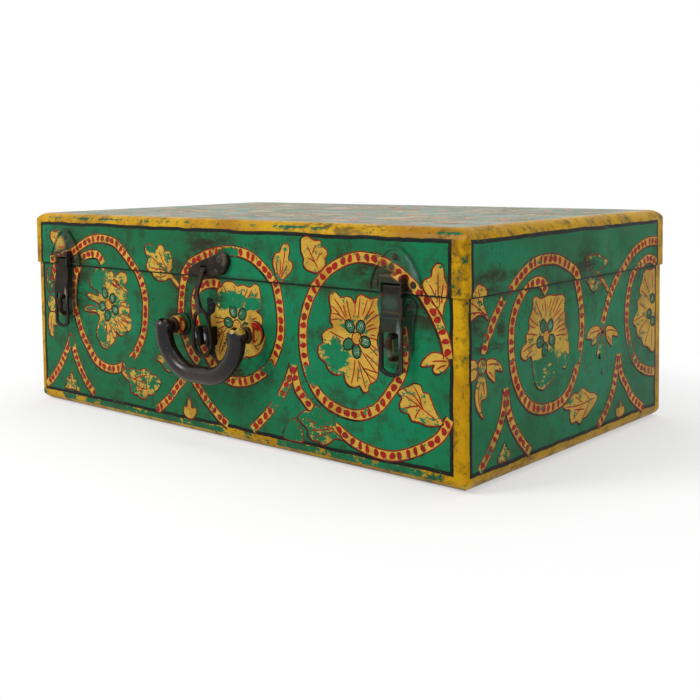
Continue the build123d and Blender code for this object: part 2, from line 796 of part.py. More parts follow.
def handle_slot(side):
    """What is cut from one end: a slot open to the back and the top, and the pin's bore."""
    x = handle_x + side * post_span / 2
    reach = post_eye + handle_slot_gap
    far = 3 * handle_knob
    profile = rectangle_between(handle_pin_out - far, handle_pin_out + reach, post_z - reach, post_z + far)
    slot = across(x, profile, post_tongue + 2 * handle_slot_gap)
    return slot + x_rod(x, handle_pin_out, post_z, handle_pin_radius + pin_clearance, 4 * handle_boss_half)


def grip_line():
    """The grip's centre line: one deep bow from pin to pin."""
    half = post_span / 2
    knee = post_z - handle_leg
    bottom = post_z - handle_drop
    points = [
        (-half, post_z),
        (-half, knee),
        (-handle_foot, bottom),
        (handle_foot, bottom),
        (half, knee),
        (half, post_z),
    ]
    radii = [handle_knee_radius, handle_foot_radius, handle_foot_radius, handle_knee_radius]
    return front_plane(handle_pin_out) * Pos(handle_x, 0) * FilletPolyline(*points, radius=radii)


line = grip_line()
start = Plane(origin=line @ 0, z_dir=line % 0)
handle = sweep(start * Circle(handle_radius), path=line)
for side in (-1, 1):
    handle += handle_end(side)
for side in (-1, 1):
    handle -= handle_slot(side)
save(handle, "handle")

post_solid = handle_post()
backing_plates = []
pins = []
for place, side in (("left", -1), ("right", 1)):
    post_x = handle_x + side * post_span / 2
    save(front_plane(base_out) * Pos(post_x, post_z) * post_solid, f"handle_post_{place}")
    base_shell -= front_hole(post_x, post_z, post_shank + shank_clearance, base_out)
    outline = rounded_rectangle(backing_size, backing_size, backing_corner)
    outline -= Circle(post_shank + shank_clearance)
    backing = extrude(outline, backing_thickness)
    backing_plates.append(front_plane(base_inner_out - backing_thickness) * Pos(post_x, post_z) * backing)
    pins.append(handle_pin(post_x))
save(Compound(children=backing_plates), "handle_backing_plates")
save(Compound(children=pins), "handle_pins")


# ---------------------------------------------------------------- lid stay
# The stay's pivot on the lid and its stud on the base lie at one distance from the hinge line,
# as far above the seam as below it, so the stay turns by half the lid's angle.
stay_y = hinge_y - sqrt(stay_radius**2 - stay_rise**2)
pivot_z = seam_middle + stay_rise
stud_z = seam_middle - stay_rise
closed_reach = 2 * stay_rise
half_angle = asin(stay_rise / stay_radius) + radians(lid_opening) / 2
open_reach = 2 * stay_radius * sin(half_angle)
tongue_face = base_width / 2 - ledge_width - strip_clearance - sheet
stay_outer_x = tongue_face - stay_gap
stay_inner_x = stay_outer_x - stay_thickness
head_inner_x = stay_inner_x - stay_gap - stay_head_length


def side_rod(z, radius, x_from, x_to):
    """A round rod along X at the stay's y, between two x values."""
    plane = Plane(origin=(x_from, stay_y, z), x_dir=(0, 1, 0), z_dir=(1, 0, 0))
    return extrude(plane * Circle(radius), x_to - x_from)


def stay_carrier(z, radius, wall_inner):
    """A collared stud welded on the inner face of a side wall, with a head over the stay."""
    stud = side_rod(z, radius, head_inner_x, wall_inner)
    stud += side_rod(z, stay_head, head_inner_x, head_inner_x + stay_head_length)
    return stud + side_rod(z, stay_collar, stay_outer_x + stay_gap, wall_inner)


def stay_arm():
    """A flat arm with a long slot, hanging straight down from its pivot when the lid is shut."""
    slot_half = stay_stud + stay_slot_clearance
    length = open_reach + stay_end
    low = pivot_z - length
    blade = rectangle_between(stay_y - stay_width / 2, stay_y + stay_width / 2, low, pivot_z)
    blade += Pos(stay_y, pivot_z) * Circle(stay_width / 2)
    blade += Pos(stay_y, low) * Circle(stay_width / 2)
    blade -= rectangle_between(
        stay_y - slot_half, stay_y + slot_half, pivot_z - open_reach, pivot_z - closed_reach
    )
    blade -= Pos(stay_y, pivot_z - open_reach) * Circle(slot_half)
    blade -= Pos(stay_y, pivot_z - closed_reach) * Circle(slot_half)
    blade -= Pos(stay_y, pivot_z) * Circle(stay_rivet + pin_clearance)
    plane = Plane(origin=(stay_inner_x, 0, 0), x_dir=(0, 1, 0), z_dir=(1, 0, 0))
    return extrude(plane * blade, stay_thickness)


save(stay_arm(), "stay_arm")
save(stay_carrier(stud_z, stay_stud, base_width / 2 - sheet), "stay_stud")
save(stay_carrier(pivot_z, stay_rivet, trunk_width / 2 - sheet), "stay_pivot")

for place, strip in strips.items():
    save(strip, f"rim_strip_{place}")
save(base_shell, "base_shell")
save(lid_shell, "lid_shell")
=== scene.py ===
import math

import bmesh
import bpy
from mathutils import Matrix, Vector, noise


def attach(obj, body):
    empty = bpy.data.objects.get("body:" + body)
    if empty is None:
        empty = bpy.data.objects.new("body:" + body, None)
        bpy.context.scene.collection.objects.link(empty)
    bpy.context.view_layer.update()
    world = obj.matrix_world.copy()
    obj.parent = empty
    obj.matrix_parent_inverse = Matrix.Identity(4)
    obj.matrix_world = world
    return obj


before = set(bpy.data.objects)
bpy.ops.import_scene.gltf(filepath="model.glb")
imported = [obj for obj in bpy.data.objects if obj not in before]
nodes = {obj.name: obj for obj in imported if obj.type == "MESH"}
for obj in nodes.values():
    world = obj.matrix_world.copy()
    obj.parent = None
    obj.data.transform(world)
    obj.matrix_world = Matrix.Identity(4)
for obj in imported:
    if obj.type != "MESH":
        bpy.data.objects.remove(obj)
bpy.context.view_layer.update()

# ---------------------------------------------------------------- sheet-tin base and lid
# Two folded trays of thin sheet, painted green by brush and varnished, with a yellow border
# edged by a black line on every face. The paint is chipped along the edges and grimy by the iron,
# with a line of painted shade along the seam and patches of painted shade by the middle hasp.
MM = 0.001
# The height of the seam, and where the lid's front, its right side and its top lie.
SEAM = 0.12235
FRONT = -0.140
RIGHT = 0.228
TOP = 0.166


def shade(red, green, blue):
    """A colour as it looks on a screen, 0 to 255, in Blender's linear values."""
    linear = []
    for value in (red, green, blue):
        value /= 255
        linear.append(value / 12.92 if value <= 0.04045 else ((value + 0.055) / 1.055) ** 2.4)
    return (*linear, 1)


GREEN = shade(20, 101, 61)
GREEN_LIGHT = shade(8, 122, 80)
GREEN_DARK = shade(40, 84, 48)
GRIME = shade(44, 36, 20)
YELLOW = shade(200, 154, 0)
YELLOW_DEEP = shade(160, 110, 0)
BLACK_LINE = shade(19, 24, 21)
BARE_TIN = shade(112, 106, 96)
# The grey of dust, also used as painted sheen on what faces up.
DUST_AND_SHEEN_GREY = shade(158, 152, 142)


def add(tree, kind, inputs=None, **settings):
    """A node with its settings, and its inputs given as values or as sockets to link."""
    n = tree.nodes.new(kind)
    for name, value in settings.items():
        setattr(n, name, value)
    for name, value in (inputs or {}).items():
        if isinstance(value, bpy.types.NodeSocket):
            tree.links.new(value, n.inputs[name])
        else:
            n.inputs[name].default_value = value
    return n


def math_node(tree, operation, a, b=0.0):
    """The result of one Math node."""
    return add(tree, "ShaderNodeMath", {0: a, 1: b}, operation=operation).outputs[0]


def times(tree, a, b):
    """Two values multiplied."""
    return math_node(tree, "MULTIPLY", a, b)


def plus(tree, a, b):
    """Two values added."""
    return math_node(tree, "ADD", a, b)


def minus(tree, a, b):
    """The second value taken from the first."""
    return math_node(tree, "SUBTRACT", a, b)


def vector_node(tree, operation, a, b):
    """The result of one Vector Math node."""
    return add(tree, "ShaderNodeVectorMath", {0: a, 1: b}, operation=operation).outputs[0]


def length(tree, vector):
    """How long a vector is."""
    return add(tree, "ShaderNodeVectorMath", {0: vector}, operation="LENGTH").outputs[1]


def object_place(tree):
    """The place on a piece, in metres from the trunk's origin; it moves with the piece."""
    return add(tree, "ShaderNodeTexCoord").outputs["Object"]


def split(tree, vector):
    """The x, y and z of a vector."""
    return add(tree, "ShaderNodeSeparateXYZ", {0: vector}).outputs


def remap(tree, value, low, high, to_low=0.0, to_high=1.0):
    """A value taken smoothly from one range to another."""
    inputs = {"Value": value, "From Min": low, "From Max": high, "To Min": to_low, "To Max": to_high}
    return add(tree, "ShaderNodeMapRange", inputs, interpolation_type="SMOOTHSTEP").outputs[0]


def blend(tree, share, a, b):
    """Two colours mixed by a share from 0 to 1."""
    return add(tree, "ShaderNodeMix", {0: share, 6: a, 7: b}, data_type="RGBA").outputs[2]


def mottle(tree, place, scale, detail=4.0, roughness=0.55, distortion=0.0):
    """Cloudy noise from 0 to 1."""
    inputs = {"Vector": place, "Scale": scale, "Detail": detail}
    inputs |= {"Roughness": roughness, "Distortion": distortion}
    return add(tree, "ShaderNodeTexNoise", inputs).outputs[0]


def stretched(tree, place, scale, shift=(0, 0, 0)):
    """The place stretched by a Mapping node, for brush marks and streaks."""
    return add(tree, "ShaderNodeMapping", {"Vector": place, "Scale": scale, "Location": shift}).outputs[0]


def group(name, inputs, outputs):
    """An empty node group with named sockets, and its input and output nodes."""
    tree = bpy.data.node_groups.new(name, "ShaderNodeTree")
    for label, kind in inputs:
        tree.interface.new_socket(label, in_out="INPUT", socket_type=kind)
    for label, kind in outputs:
        tree.interface.new_socket(label, in_out="OUTPUT", socket_type=kind)
    return tree, tree.nodes.new("NodeGroupInput"), tree.nodes.new("NodeGroupOutput")


def near_place(tree, place, centre, reach, soft):
    """A soft patch round a centre, given with its reach along each axis."""
    scaled = vector_node(tree, "DIVIDE", vector_node(tree, "SUBTRACT", place, centre), reach)
    return remap(tree, length(tree, scaled), 1 + soft, 1 - soft)


def most(tree, masks):
    """The largest of several masks."""
    result = masks[0]
    for mask in masks[1:]:
        result = math_node(tree, "MAXIMUM", result, mask)
    return result


def patches_on_faces(tree, place, on_front, on_right, depth, soft):
    """Soft patches on the front and on the right face, each reaching this deep behind its face."""
    patches = []
    for x, z, reach_x, reach_z in on_front:
        patches.append(near_place(tree, place, (x, FRONT, z), (reach_x, depth, reach_z), soft))
    for away, z, reach_y, reach_z in on_right:
        patches.append(near_place(tree, place, (RIGHT, FRONT + away, z), (depth, reach_y, reach_z), soft))
    return most(tree, patches)


# Grime gathers round the iron and where hands touch, and two of these patches are painted shade, to the
# right of the middle hasp's link and of its keeper: (x, z, reach along x, reach along z).
GRIME_AND_SHADE_FRONT = (
    (-0.178, 0.118, 0.024, 0.040),
    (-0.196, 0.104, 0.016, 0.020),
    (0.166, 0.130, 0.024, 0.013),
    (0.150, 0.135, 0.012, 0.008),
    (-0.006, 0.1480, 0.022, 0.009),
    (-0.020, 0.1350, 0.010, 0.012),
    # painted shade on the face to the right of the middle hasp's link
    (0.006, 0.1080, 0.007, 0.012),
    # painted shade on the face to the right of and under the middle hasp's keeper
    (0.011, 0.0720, 0.007, 0.010),
    (-0.044, 0.0860, 0.010, 0.012),
    (-0.030, 0.110, 0.016, 0.024),
    (0.010, 0.052, 0.050, 0.007),
    (0.196, 0.112, 0.012, 0.014),
)
# The same on the right face: (distance from the front, z, reach, reach z).
GRIMY_RIGHT = (
    (0.012, 0.124, 0.026, 0.005),
    (0.030, 0.134, 0.030, 0.004),
    (0.014, 0.108, 0.010, 0.012),
    (0.026, 0.090, 0.018, 0.005),
    (0.040, 0.105, 0.006, 0.020),
    (0.150, 0.132, 0.016, 0.012),
)


def make_green():
    """The aged green ground: colour, roughness and height."""
    tree, given, out = group(
        "aged_green",
        [],
        [("Color", "NodeSocketColor"), ("Roughness", "NodeSocketFloat"), ("Height", "NodeSocketFloat")],
    )
    tree.nodes.remove(given)
    place = object_place(tree)
    clouds = mottle(tree, place, 8, 4, 0.6)
    strokes = mottle(tree, stretched(tree, place, (16, 16, 150)), 1.0, 4, 0.6, 0.4)
    fine = mottle(tree, place, 260, 3, 0.6)
    shaded = mottle(tree, place, 20, 6, 0.7)
    colour = blend(tree, remap(tree, clouds, 0.44, 0.66), GREEN, GREEN_LIGHT)
    colour = blend(tree, remap(tree, shaded, 0.52, 0.78, 0, 0.45), colour, GREEN_DARK)
    colour = blend(tree, remap(tree, strokes, 0.5, 0.8, 0, 0.30), colour, GREEN_DARK)
    specks = remap(tree, mottle(tree, place, 360, 2, 0.5), 0.63, 0.67)
    speck_places = remap(tree, mottle(tree, place, 30, 3, 0.6), 0.50, 0.62)
    specks = times(tree, specks, speck_places)
    colour = blend(tree, times(tree, specks, 0.7), colour, GRIME)
    grit = remap(tree, mottle(tree, place, 900, 2, 0.5), 0.55, 0.70, 0, 0.35)
    colour = blend(tree, grit, colour, GREEN_DARK)
    chips = remap(tree, mottle(tree, place, 150, 4, 0.6), 0.70, 0.72)
    colour = blend(tree, times(tree, chips, 0.8), colour, BLACK_LINE)
    # grime round the iron, where hands touch and along the seam, and painted shade by the middle hasp's link
    # and keeper
    grime_and_shade = patches_on_faces(tree, place, GRIME_AND_SHADE_FRONT, GRIMY_RIGHT, 0.02, 0.6)
    from_seam = math_node(tree, "ABSOLUTE", minus(tree, split(tree, place)[2], SEAM))
    by_seam = remap(tree, from_seam, 0.0042, 0.0006, 0, 0.55)
    grime_and_shade = math_node(tree, "MAXIMUM", grime_and_shade, by_seam)
    smears = mottle(tree, stretched(tree, place, (60, 60, 170)), 1.0, 6, 0.75, 0.5)
    grime_and_shade = times(tree, grime_and_shade, remap(tree, smears, 0.38, 0.56, 0.05, 1))
    colour = blend(tree, times(tree, grime_and_shade, 0.88), colour, GRIME)
    # a black line along the seam: painted shade under the lid's overhanging edge, over the dark joint where
    # lid and base meet
    seam_shade = times(tree, remap(tree, from_seam, 0.0009, 0.0006), 0.9)
    colour = blend(tree, seam_shade, colour, BLACK_LINE)
    scratch = mottle(tree, stretched(tree, place, (900, 900, 22), (0.3, 0.1, 0)), 1.0, 2, 0.5)
    scratch_places = remap(tree, mottle(tree, place, 26, 3, 0.6), 0.56, 0.66)
    scratch = times(tree, remap(tree, scratch, 0.7, 0.76), scratch_places)
    colour = blend(tree, times(tree, scratch, 0.5), colour, GRIME)
    rough = remap(tree, mottle(tree, place, 40, 5, 0.65), 0.3, 0.7, 0.30, 0.50)
    rough = plus(tree, rough, times(tree, grime_and_shade, 0.12))
    height = plus(tree, mottle(tree, place, 12, 2, 0.5), times(tree, strokes, 0.08))
    height = plus(tree, height, times(tree, fine, 0.02))
    height = minus(tree, height, times(tree, specks, 0.05))
    tree.links.new(colour, out.inputs["Color"])
    tree.links.new(rough, out.inputs["Roughness"])
    tree.links.new(height, out.inputs["Height"])
    return tree


green_group = make_green()
BUMP_REACH = 0.0009
BUMP_STRENGTH = 0.6


def new_material(name):
    """An empty node material with its output node."""
    material = bpy.data.materials.new(name)
    material.use_nodes = True
    tree = material.node_tree
    tree.nodes.clear()
    return material, tree, add(tree, "ShaderNodeOutputMaterial")


def finish_material(tree, out, colour, rough, height, metal=0.0, specular=0.10, reach=BUMP_REACH):
    """Closes a material with one Principled BSDF and a bump."""
    bump = add(tree, "ShaderNodeBump", {"Height": height, "Distance": reach, "Strength": BUMP_STRENGTH})
    inputs = {"Base Color": colour, "Roughness": rough, "Metallic": metal, "Normal": bump.outputs[0]}
    shader = add(tree, "ShaderNodeBsdfPrincipled", inputs)
    shader.inputs["Specular IOR Level"].default_value = specular
    tree.links.new(shader.outputs[0], out.inputs[0])


def outside(tree):
    """1 on the faces that look away from the trunk's middle, 0 on its inner faces."""
    where = add(tree, "ShaderNodeTexCoord").outputs
    away = vector_node(tree, "SUBTRACT", where["Object"], (0, 0, TOP / 2))
    facing = add(tree, "ShaderNodeVectorMath", {0: away, 1: where["Normal"]}, operation="DOT_PRODUCT")
    return math_node(tree, "GREATER_THAN", facing.outputs[1], 0.0)


def dust_and_sheen(tree, colour):
    """The grey bloom of dust and fading, and a painted sheen standing in for reflection, on what faces up."""
    where = add(tree, "ShaderNodeTexCoord").outputs
    up = split(tree, where["Normal"])[2]
    cover = remap(tree, mottle(tree, where["Object"], 30, 5, 0.7), 0.3, 0.7, 0.26, 0.64)
    return blend(tree, times(tree, remap(tree, up, 0.90, 0.99), cover), colour, DUST_AND_SHEEN_GREY)


# The border's inner edge: its x on the front, its distance from the front on the sides, its z on
# both, and on the top its distance from the middle. Then the width of the black line along it.
BORDER_LEFT = -0.2195
BORDER_RIGHT = 0.216
BORDER_NEAR = 0.0040
BORDER_FAR = 0.268
BORDER_HIGH = 0.1585
BORDER_LOW = 0.0100
BORDER_TOP = 0.131
BLACK_WIDTH = 0.0025
# From here on a place counts as on a side face, or as on the top.
SIDE_FACE_FROM = 0.2255
TOP_FACE_FROM = TOP - 0.0008
# How far the painter's hand strayed, over a hand's breadth and over a few millimetres.
STRAYED = 0.0032
TREMBLED = 0.0008
# The places where the yellow is left on the front's lower strip: (x, reach along x).
KEPT_YELLOW = ((-0.206, 0.017), (0.040, 0.026), (0.205, 0.020))


def past_border(tree, place):
    """How far a place lies past the border's inner edge; what is positive lies in the yellow."""
    x, y, z = split(tree, place)
    on_top = math_node(tree, "GREATER_THAN", z, TOP_FACE_FROM)
    on_side = math_node(tree, "GREATER_THAN", math_node(tree, "ABSOLUTE", x), SIDE_FACE_FROM)
    from_front = minus(tree, y, FRONT)
    across = most(tree, [minus(tree, x, BORDER_RIGHT), minus(tree, BORDER_LEFT, x)])
    along = most(tree, [minus(tree, BORDER_NEAR, from_front), minus(tree, from_front, BORDER_FAR)])
    top_along = minus(tree, math_node(tree, "ABSOLUTE", y), BORDER_TOP)
    upright = add(tree, "ShaderNodeMix", {0: on_side, 2: across, 3: along}).outputs[0]
    walls = most(tree, [minus(tree, z, BORDER_HIGH), minus(tree, BORDER_LOW, z), upright])
    top = most(tree, [across, top_along])
    edge = add(tree, "ShaderNodeMix", {0: on_top, 2: walls, 3: top}).outputs[0]
    for scale, reach in ((28, STRAYED), (160, TREMBLED)):
        wobble = minus(tree, mottle(tree, place, scale, 3, 0.6), 0.5)
        edge = plus(tree, edge, times(tree, wobble, reach))
    return edge


def painted_tin():
    """The green ground with the yellow border and its black line, painted by hand."""
    material, tree, out = new_material("painted_tin")
    ground = add(tree, "ShaderNodeGroup", node_tree=green_group)
    place = object_place(tree)
    y, z = split(tree, place)[1:]
    edge = past_border(tree, place)
    border = remap(tree, edge, -0.0001, 0.0002)
    line = remap(tree, edge, -BLACK_WIDTH - 0.0003, -BLACK_WIDTH + 0.0001)
    line = times(tree, line, remap(tree, edge, 0.0003, -0.0001))
    # the yellow: brushed thin, chipped to green, and nearly gone on the front's lower strip
    streak = mottle(tree, stretched(tree, place, (9, 9, 9)), 1.0, 6, 0.7)
    ragged = mottle(tree, place, 190, 5, 0.7)
    rubbed = times(tree, mottle(tree, place, 60, 6, 0.72), 0.7)
    rubbed = plus(tree, rubbed, times(tree, ragged, 0.3))
    on_front = math_node(tree, "LESS_THAN", y, FRONT + 0.003)
    low_strip = times(tree, remap(tree, z, BORDER_LOW + 0.001, BORDER_LOW - 0.001), on_front)
    high_strip = times(tree, remap(tree, z, 0.1600, 0.1625), on_front)
    kept = []
    for patch_x, reach in KEPT_YELLOW:
        kept.append(near_place(tree, place, (patch_x, FRONT, 0.005), (reach, 0.03, 0.02), 0.5))
    worn_share = minus(tree, 1.0, times(tree, most(tree, kept), 0.55))
    low_strip = times(tree, low_strip, worn_share)
    limit = minus(tree, 0.615, times(tree, low_strip, 0.19))
    limit = minus(tree, limit, times(tree, high_strip, 0.105))
    chipped = remap(tree, minus(tree, rubbed, limit), -0.01, 0.012)
    yellow = blend(tree, remap(tree, streak, 0.42, 0.66), YELLOW, YELLOW_DEEP)
    along_border = mottle(tree, stretched(tree, place, (26, 26, 26)), 1.0, 5, 0.75, 0.6)
    yellow = blend(tree, remap(tree, along_border, 0.56, 0.66, 0, 0.7), yellow, GRIME)
    scuffs = remap(tree, mottle(tree, place, 240, 4, 0.7), 0.58, 0.66, 0, 0.55)
    yellow = blend(tree, scuffs, yellow, GRIME)
    colour = blend(tree, border, ground.outputs["Color"], yellow)
    colour = blend(tree, times(tree, border, chipped), colour, ground.outputs["Color"])
    line = times(tree, line, remap(tree, rubbed, 0.64, 0.60))
    colour = blend(tree, line, colour, BLACK_LINE)
    # the bent edges of the sheet are rubbed down to grime
    fold = remap(tree, add(tree, "ShaderNodeNewGeometry").outputs["Pointiness"], 0.52, 0.60)
    fold = times(tree, fold, remap(tree, rubbed, 0.48, 0.6))
    colour = blend(tree, times(tree, fold, 0.5), colour, GRIME)
    hem = times(tree, remap(tree, z, 0.0032, 0.0012), remap(tree, ragged, 0.30, 0.5, 0.3, 0.8))
    colour = blend(tree, hem, colour, GRIME)
    # inside, thin plain green with the tin showing through
    bare = remap(tree, mottle(tree, place, 50, 6, 0.7), 0.56, 0.64)
    inside = blend(tree, bare, ground.outputs["Color"], BARE_TIN)
    colour = blend(tree, outside(tree), inside, colour)
    height = plus(tree, ground.outputs["Height"], times(tree, border, 0.05))
    finish_material(tree, out, dust_and_sheen(tree, colour), ground.outputs["Roughness"], height)
    return material


def dress(material, *names):
    """Gives CAD nodes this material."""
    for name in names:
        nodes[name].data.materials.clear()
        nodes[name].data.materials.append(material)


dress(painted_tin(), "base_shell", "lid_shell")


# ---------------------------------------------------------------- painted ornament
# Scrolling bands with red dots, blown roses, leaves, bows and upturned V stems, brushed in cream
# with red outlines over the green. Each stroke is a film of paint lying on its face of the tin.
CREAM = shade(203, 162, 62)
CREAM_DEEP = shade(178, 134, 44)
RED = shade(160, 30, 26)
RED_DEEP = shade(128, 30, 22)
DARK = shade(22, 18, 14)
PETAL = shade(46, 100, 68)
PALE = shade(170, 184, 160)
CENTRE = shade(192, 142, 46)
# How thick one film of paint is, and the paints in the order of their material slots.
FILM = 0.000012
PAINTS = ("cream", "red", "outline", "dark", "petal", "pale", "centre")
# How high each paint lies, in film thicknesses, so that no two films share a plane: each band or
# shape adds a small step of its own, and after so many of them the steps begin again.
LEVEL = {"dark": 0.5, "cream": 1.5, "red": 2.5, "outline": 3.5, "petal": 4.5, "centre": 5.5, "pale": 6.5}
PETAL_RIM_LEVEL = 5.5
CENTRE_RIM_LEVEL = 6.5
SEED_LEVEL = 7.5
# the height of the dark paint laid as painted shade by the middle hasp
PAINTED_SHADE_LEVEL = 7.6
LAYERS = 8
LAYER_STEP = 0.12
# The wear of lines that stay whole, of petals and of hearts.
LINE_WEAR = 0.16
PETAL_WEAR = 0.06
HEART_WEAR = 0.05

# Places on the front where a patch of ornament has flaked off: (x, z, reach x, reach z).
FLAKED_FRONT = (
    (0.028, 0.1065, 0.026, 0.0065),
    (-0.103, 0.046, 0.010, 0.005),
    (0.018, 0.142, 0.010, 0.003),
    (0.058, 0.060, 0.007, 0.006),
    (0.064, 0.037, 0.006, 0.007),
    (0.119, 0.076, 0.012, 0.011),
    (0.098, 0.060, 0.006, 0.008),
    (-0.180, 0.056, 0.005, 0.006),
    (0.078, 0.020, 0.008, 0.006),
    (-0.142, 0.112, 0.009, 0.009),
    (-0.137, 0.066, 0.006, 0.006),
    (0.108, 0.032, 0.010, 0.006),
    (-0.068, 0.141, 0.006, 0.003),
)
# The same on the right face: (distance from the front, z, reach, reach z).
FLAKED_RIGHT = (
    (0.098, 0.066, 0.024, 0.011),
    (0.020, 0.096, 0.004, 0.005),
    (0.139, 0.066, 0.006, 0.007),
    (0.164, 0.131, 0.012, 0.005),
    (0.222, 0.058, 0.007, 0.009),
    (0.176, 0.056, 0.009, 0.007),
    (0.046, 0.121, 0.005, 0.004),
)


def make_wear():
    """The share of a paint film that is left: thin places, chips and flaked patches."""
    tree, given, out = group("paint_left", [("Wear", "NodeSocketFloat")], [("Left", "NodeSocketFloat")])
    place = object_place(tree)
    chips = mottle(tree, place, 130, 6, 0.72, 0.4)
    crumbs = mottle(tree, place, 620, 3, 0.6)
    strokes = mottle(tree, stretched(tree, place, (60, 60, 240)), 1.0, 4, 0.65, 0.8)
    film = plus(tree, times(tree, chips, 0.5), times(tree, strokes, 0.28))
    film = plus(tree, film, times(tree, crumbs, 0.22))
    flaked = patches_on_faces(tree, place, FLAKED_FRONT, FLAKED_RIGHT, 0.01, 0.55)
    limit = plus(tree, 0.345, times(tree, given.outputs["Wear"], 0.38))
    limit = plus(tree, limit, times(tree, flaked, 0.13))
    left = remap(tree, minus(tree, film, limit), -0.006, 0.010)
    tree.links.new(left, out.inputs["Left"])
    return tree


wear_group = make_wear()


def paint_film(name, main, second, low=0.44, high=0.66, scale=60, dirty=0.5):
    """One colour of the ornament, with the green showing where the film has gone."""
    material, tree, out = new_material(name)
    ground = add(tree, "ShaderNodeGroup", node_tree=green_group)
    place = object_place(tree)
    wear = add(tree, "ShaderNodeAttribute", attribute_name="wear").outputs["Fac"]
    left = add(tree, "ShaderNodeGroup", {"Wear": wear}, node_tree=wear_group).outputs["Left"]
    tone = remap(tree, mottle(tree, place, scale, 5, 0.65), low, high)
    colour = blend(tree, tone, main, second)
    flecks = remap(tree, mottle(tree, place, 420, 3, 0.65), 0.60, 0.68, 0, 0.45)
    colour = blend(tree, flecks, colour, second)
    dirt = remap(tree, mottle(tree, place, 45, 6, 0.75), 0.56, 0.74, 0, dirty)
    colour = blend(tree, dirt, colour, GRIME)
    colour = blend(tree, left, ground.outputs["Color"], colour)
    height = plus(tree, ground.outputs["Height"], times(tree, left, 0.06))
    finish_material(tree, out, dust_and_sheen(tree, colour), ground.outputs["Roughness"], height)
    return material


films = {
    "cream": paint_film("cream_paint", CREAM, CREAM_DEEP),
    "red": paint_film("red_paint", RED, RED_DEEP, 0.40, 0.62, 120, 0.3),
    "outline": paint_film("outline_paint", RED_DEEP, DARK, 0.50, 0.64, 50, 0.2),
    "dark": paint_film("dark_paint", DARK, BLACK_LINE, 0.40, 0.60, 60, 0.1),
    "petal": paint_film("petal_paint", PETAL, GREEN_DARK, 0.4, 0.65, 90, 0.2),
    "pale": paint_film("pale_paint", PALE, PETAL, 0.50, 0.72, 200, 0.1),
    "centre": paint_film("centre_paint", CENTRE, CREAM, 0.4, 0.6, 200, 0.2),
}


def smooth_line(points, closed=False, step=1.6):
    """Points along a Catmull-Rom curve through the given ones, about a step apart."""
    line = []
    count = len(points)
    spans = count if closed else count - 1
    for i in range(spans):
        if closed:
            p = [Vector(points[(i + k) % count]) for k in (-1, 0, 1, 2)]
        else:
            p = [Vector(points[min(max(i + k, 0), count - 1)]) for k in (-1, 0, 1, 2)]
        pieces = max(1, int((p[2] - p[1]).length / step))
        for k in range(pieces):
            t = k / pieces
            line.append(0.5 * (2 * p[1] + (p[2] - p[0]) * t + (2 * p[0] - 5 * p[1] + 4 * p[2] - p[3]) * t * t
                               + (3 * p[1] - p[0] - 3 * p[2] + p[3]) * t ** 3))
    if not closed:
        line.append(Vector(points[-1]))
    return line


def left_of(line, i, closed):
    """The direction square to a line at its point i, to its left."""
    before = line[i - 1] if (i or closed) else line[0]
    after = line[(i + 1) % len(line)] if (i < len(line) - 1 or closed) else line[-1]
    ahead = (after - before).normalized()
    return Vector((-ahead.y, ahead.x))


def oval(centre, reach, rise, count, tilt=0.0):
    """The outline of an oval, turned by an angle."""
    outline = []
    for k in range(count):
        turn = 2 * math.pi * k / count
        spot = Vector((math.cos(turn) * reach, math.sin(turn) * rise))
        spot.rotate(Matrix.Rotation(tilt, 2))
        outline.append(Vector(centre) + spot)
    return outline


def cut_past(bm, place, towards):
    """Cuts away what lies past a line."""
    bmesh.ops.bisect_plane(bm, geom=bm.verts[:] + bm.edges[:] + bm.faces[:], dist=0.0001,
                           plane_co=(*place, 0), plane_no=(*towards, 0), clear_outer=True)


# The side of a shape on which the painter laid its dark line, and the gap left open at the seam, in mm.
SHADOW_SIDE = Vector((-0.78, -0.62))
SEAM_GAP = 0.6


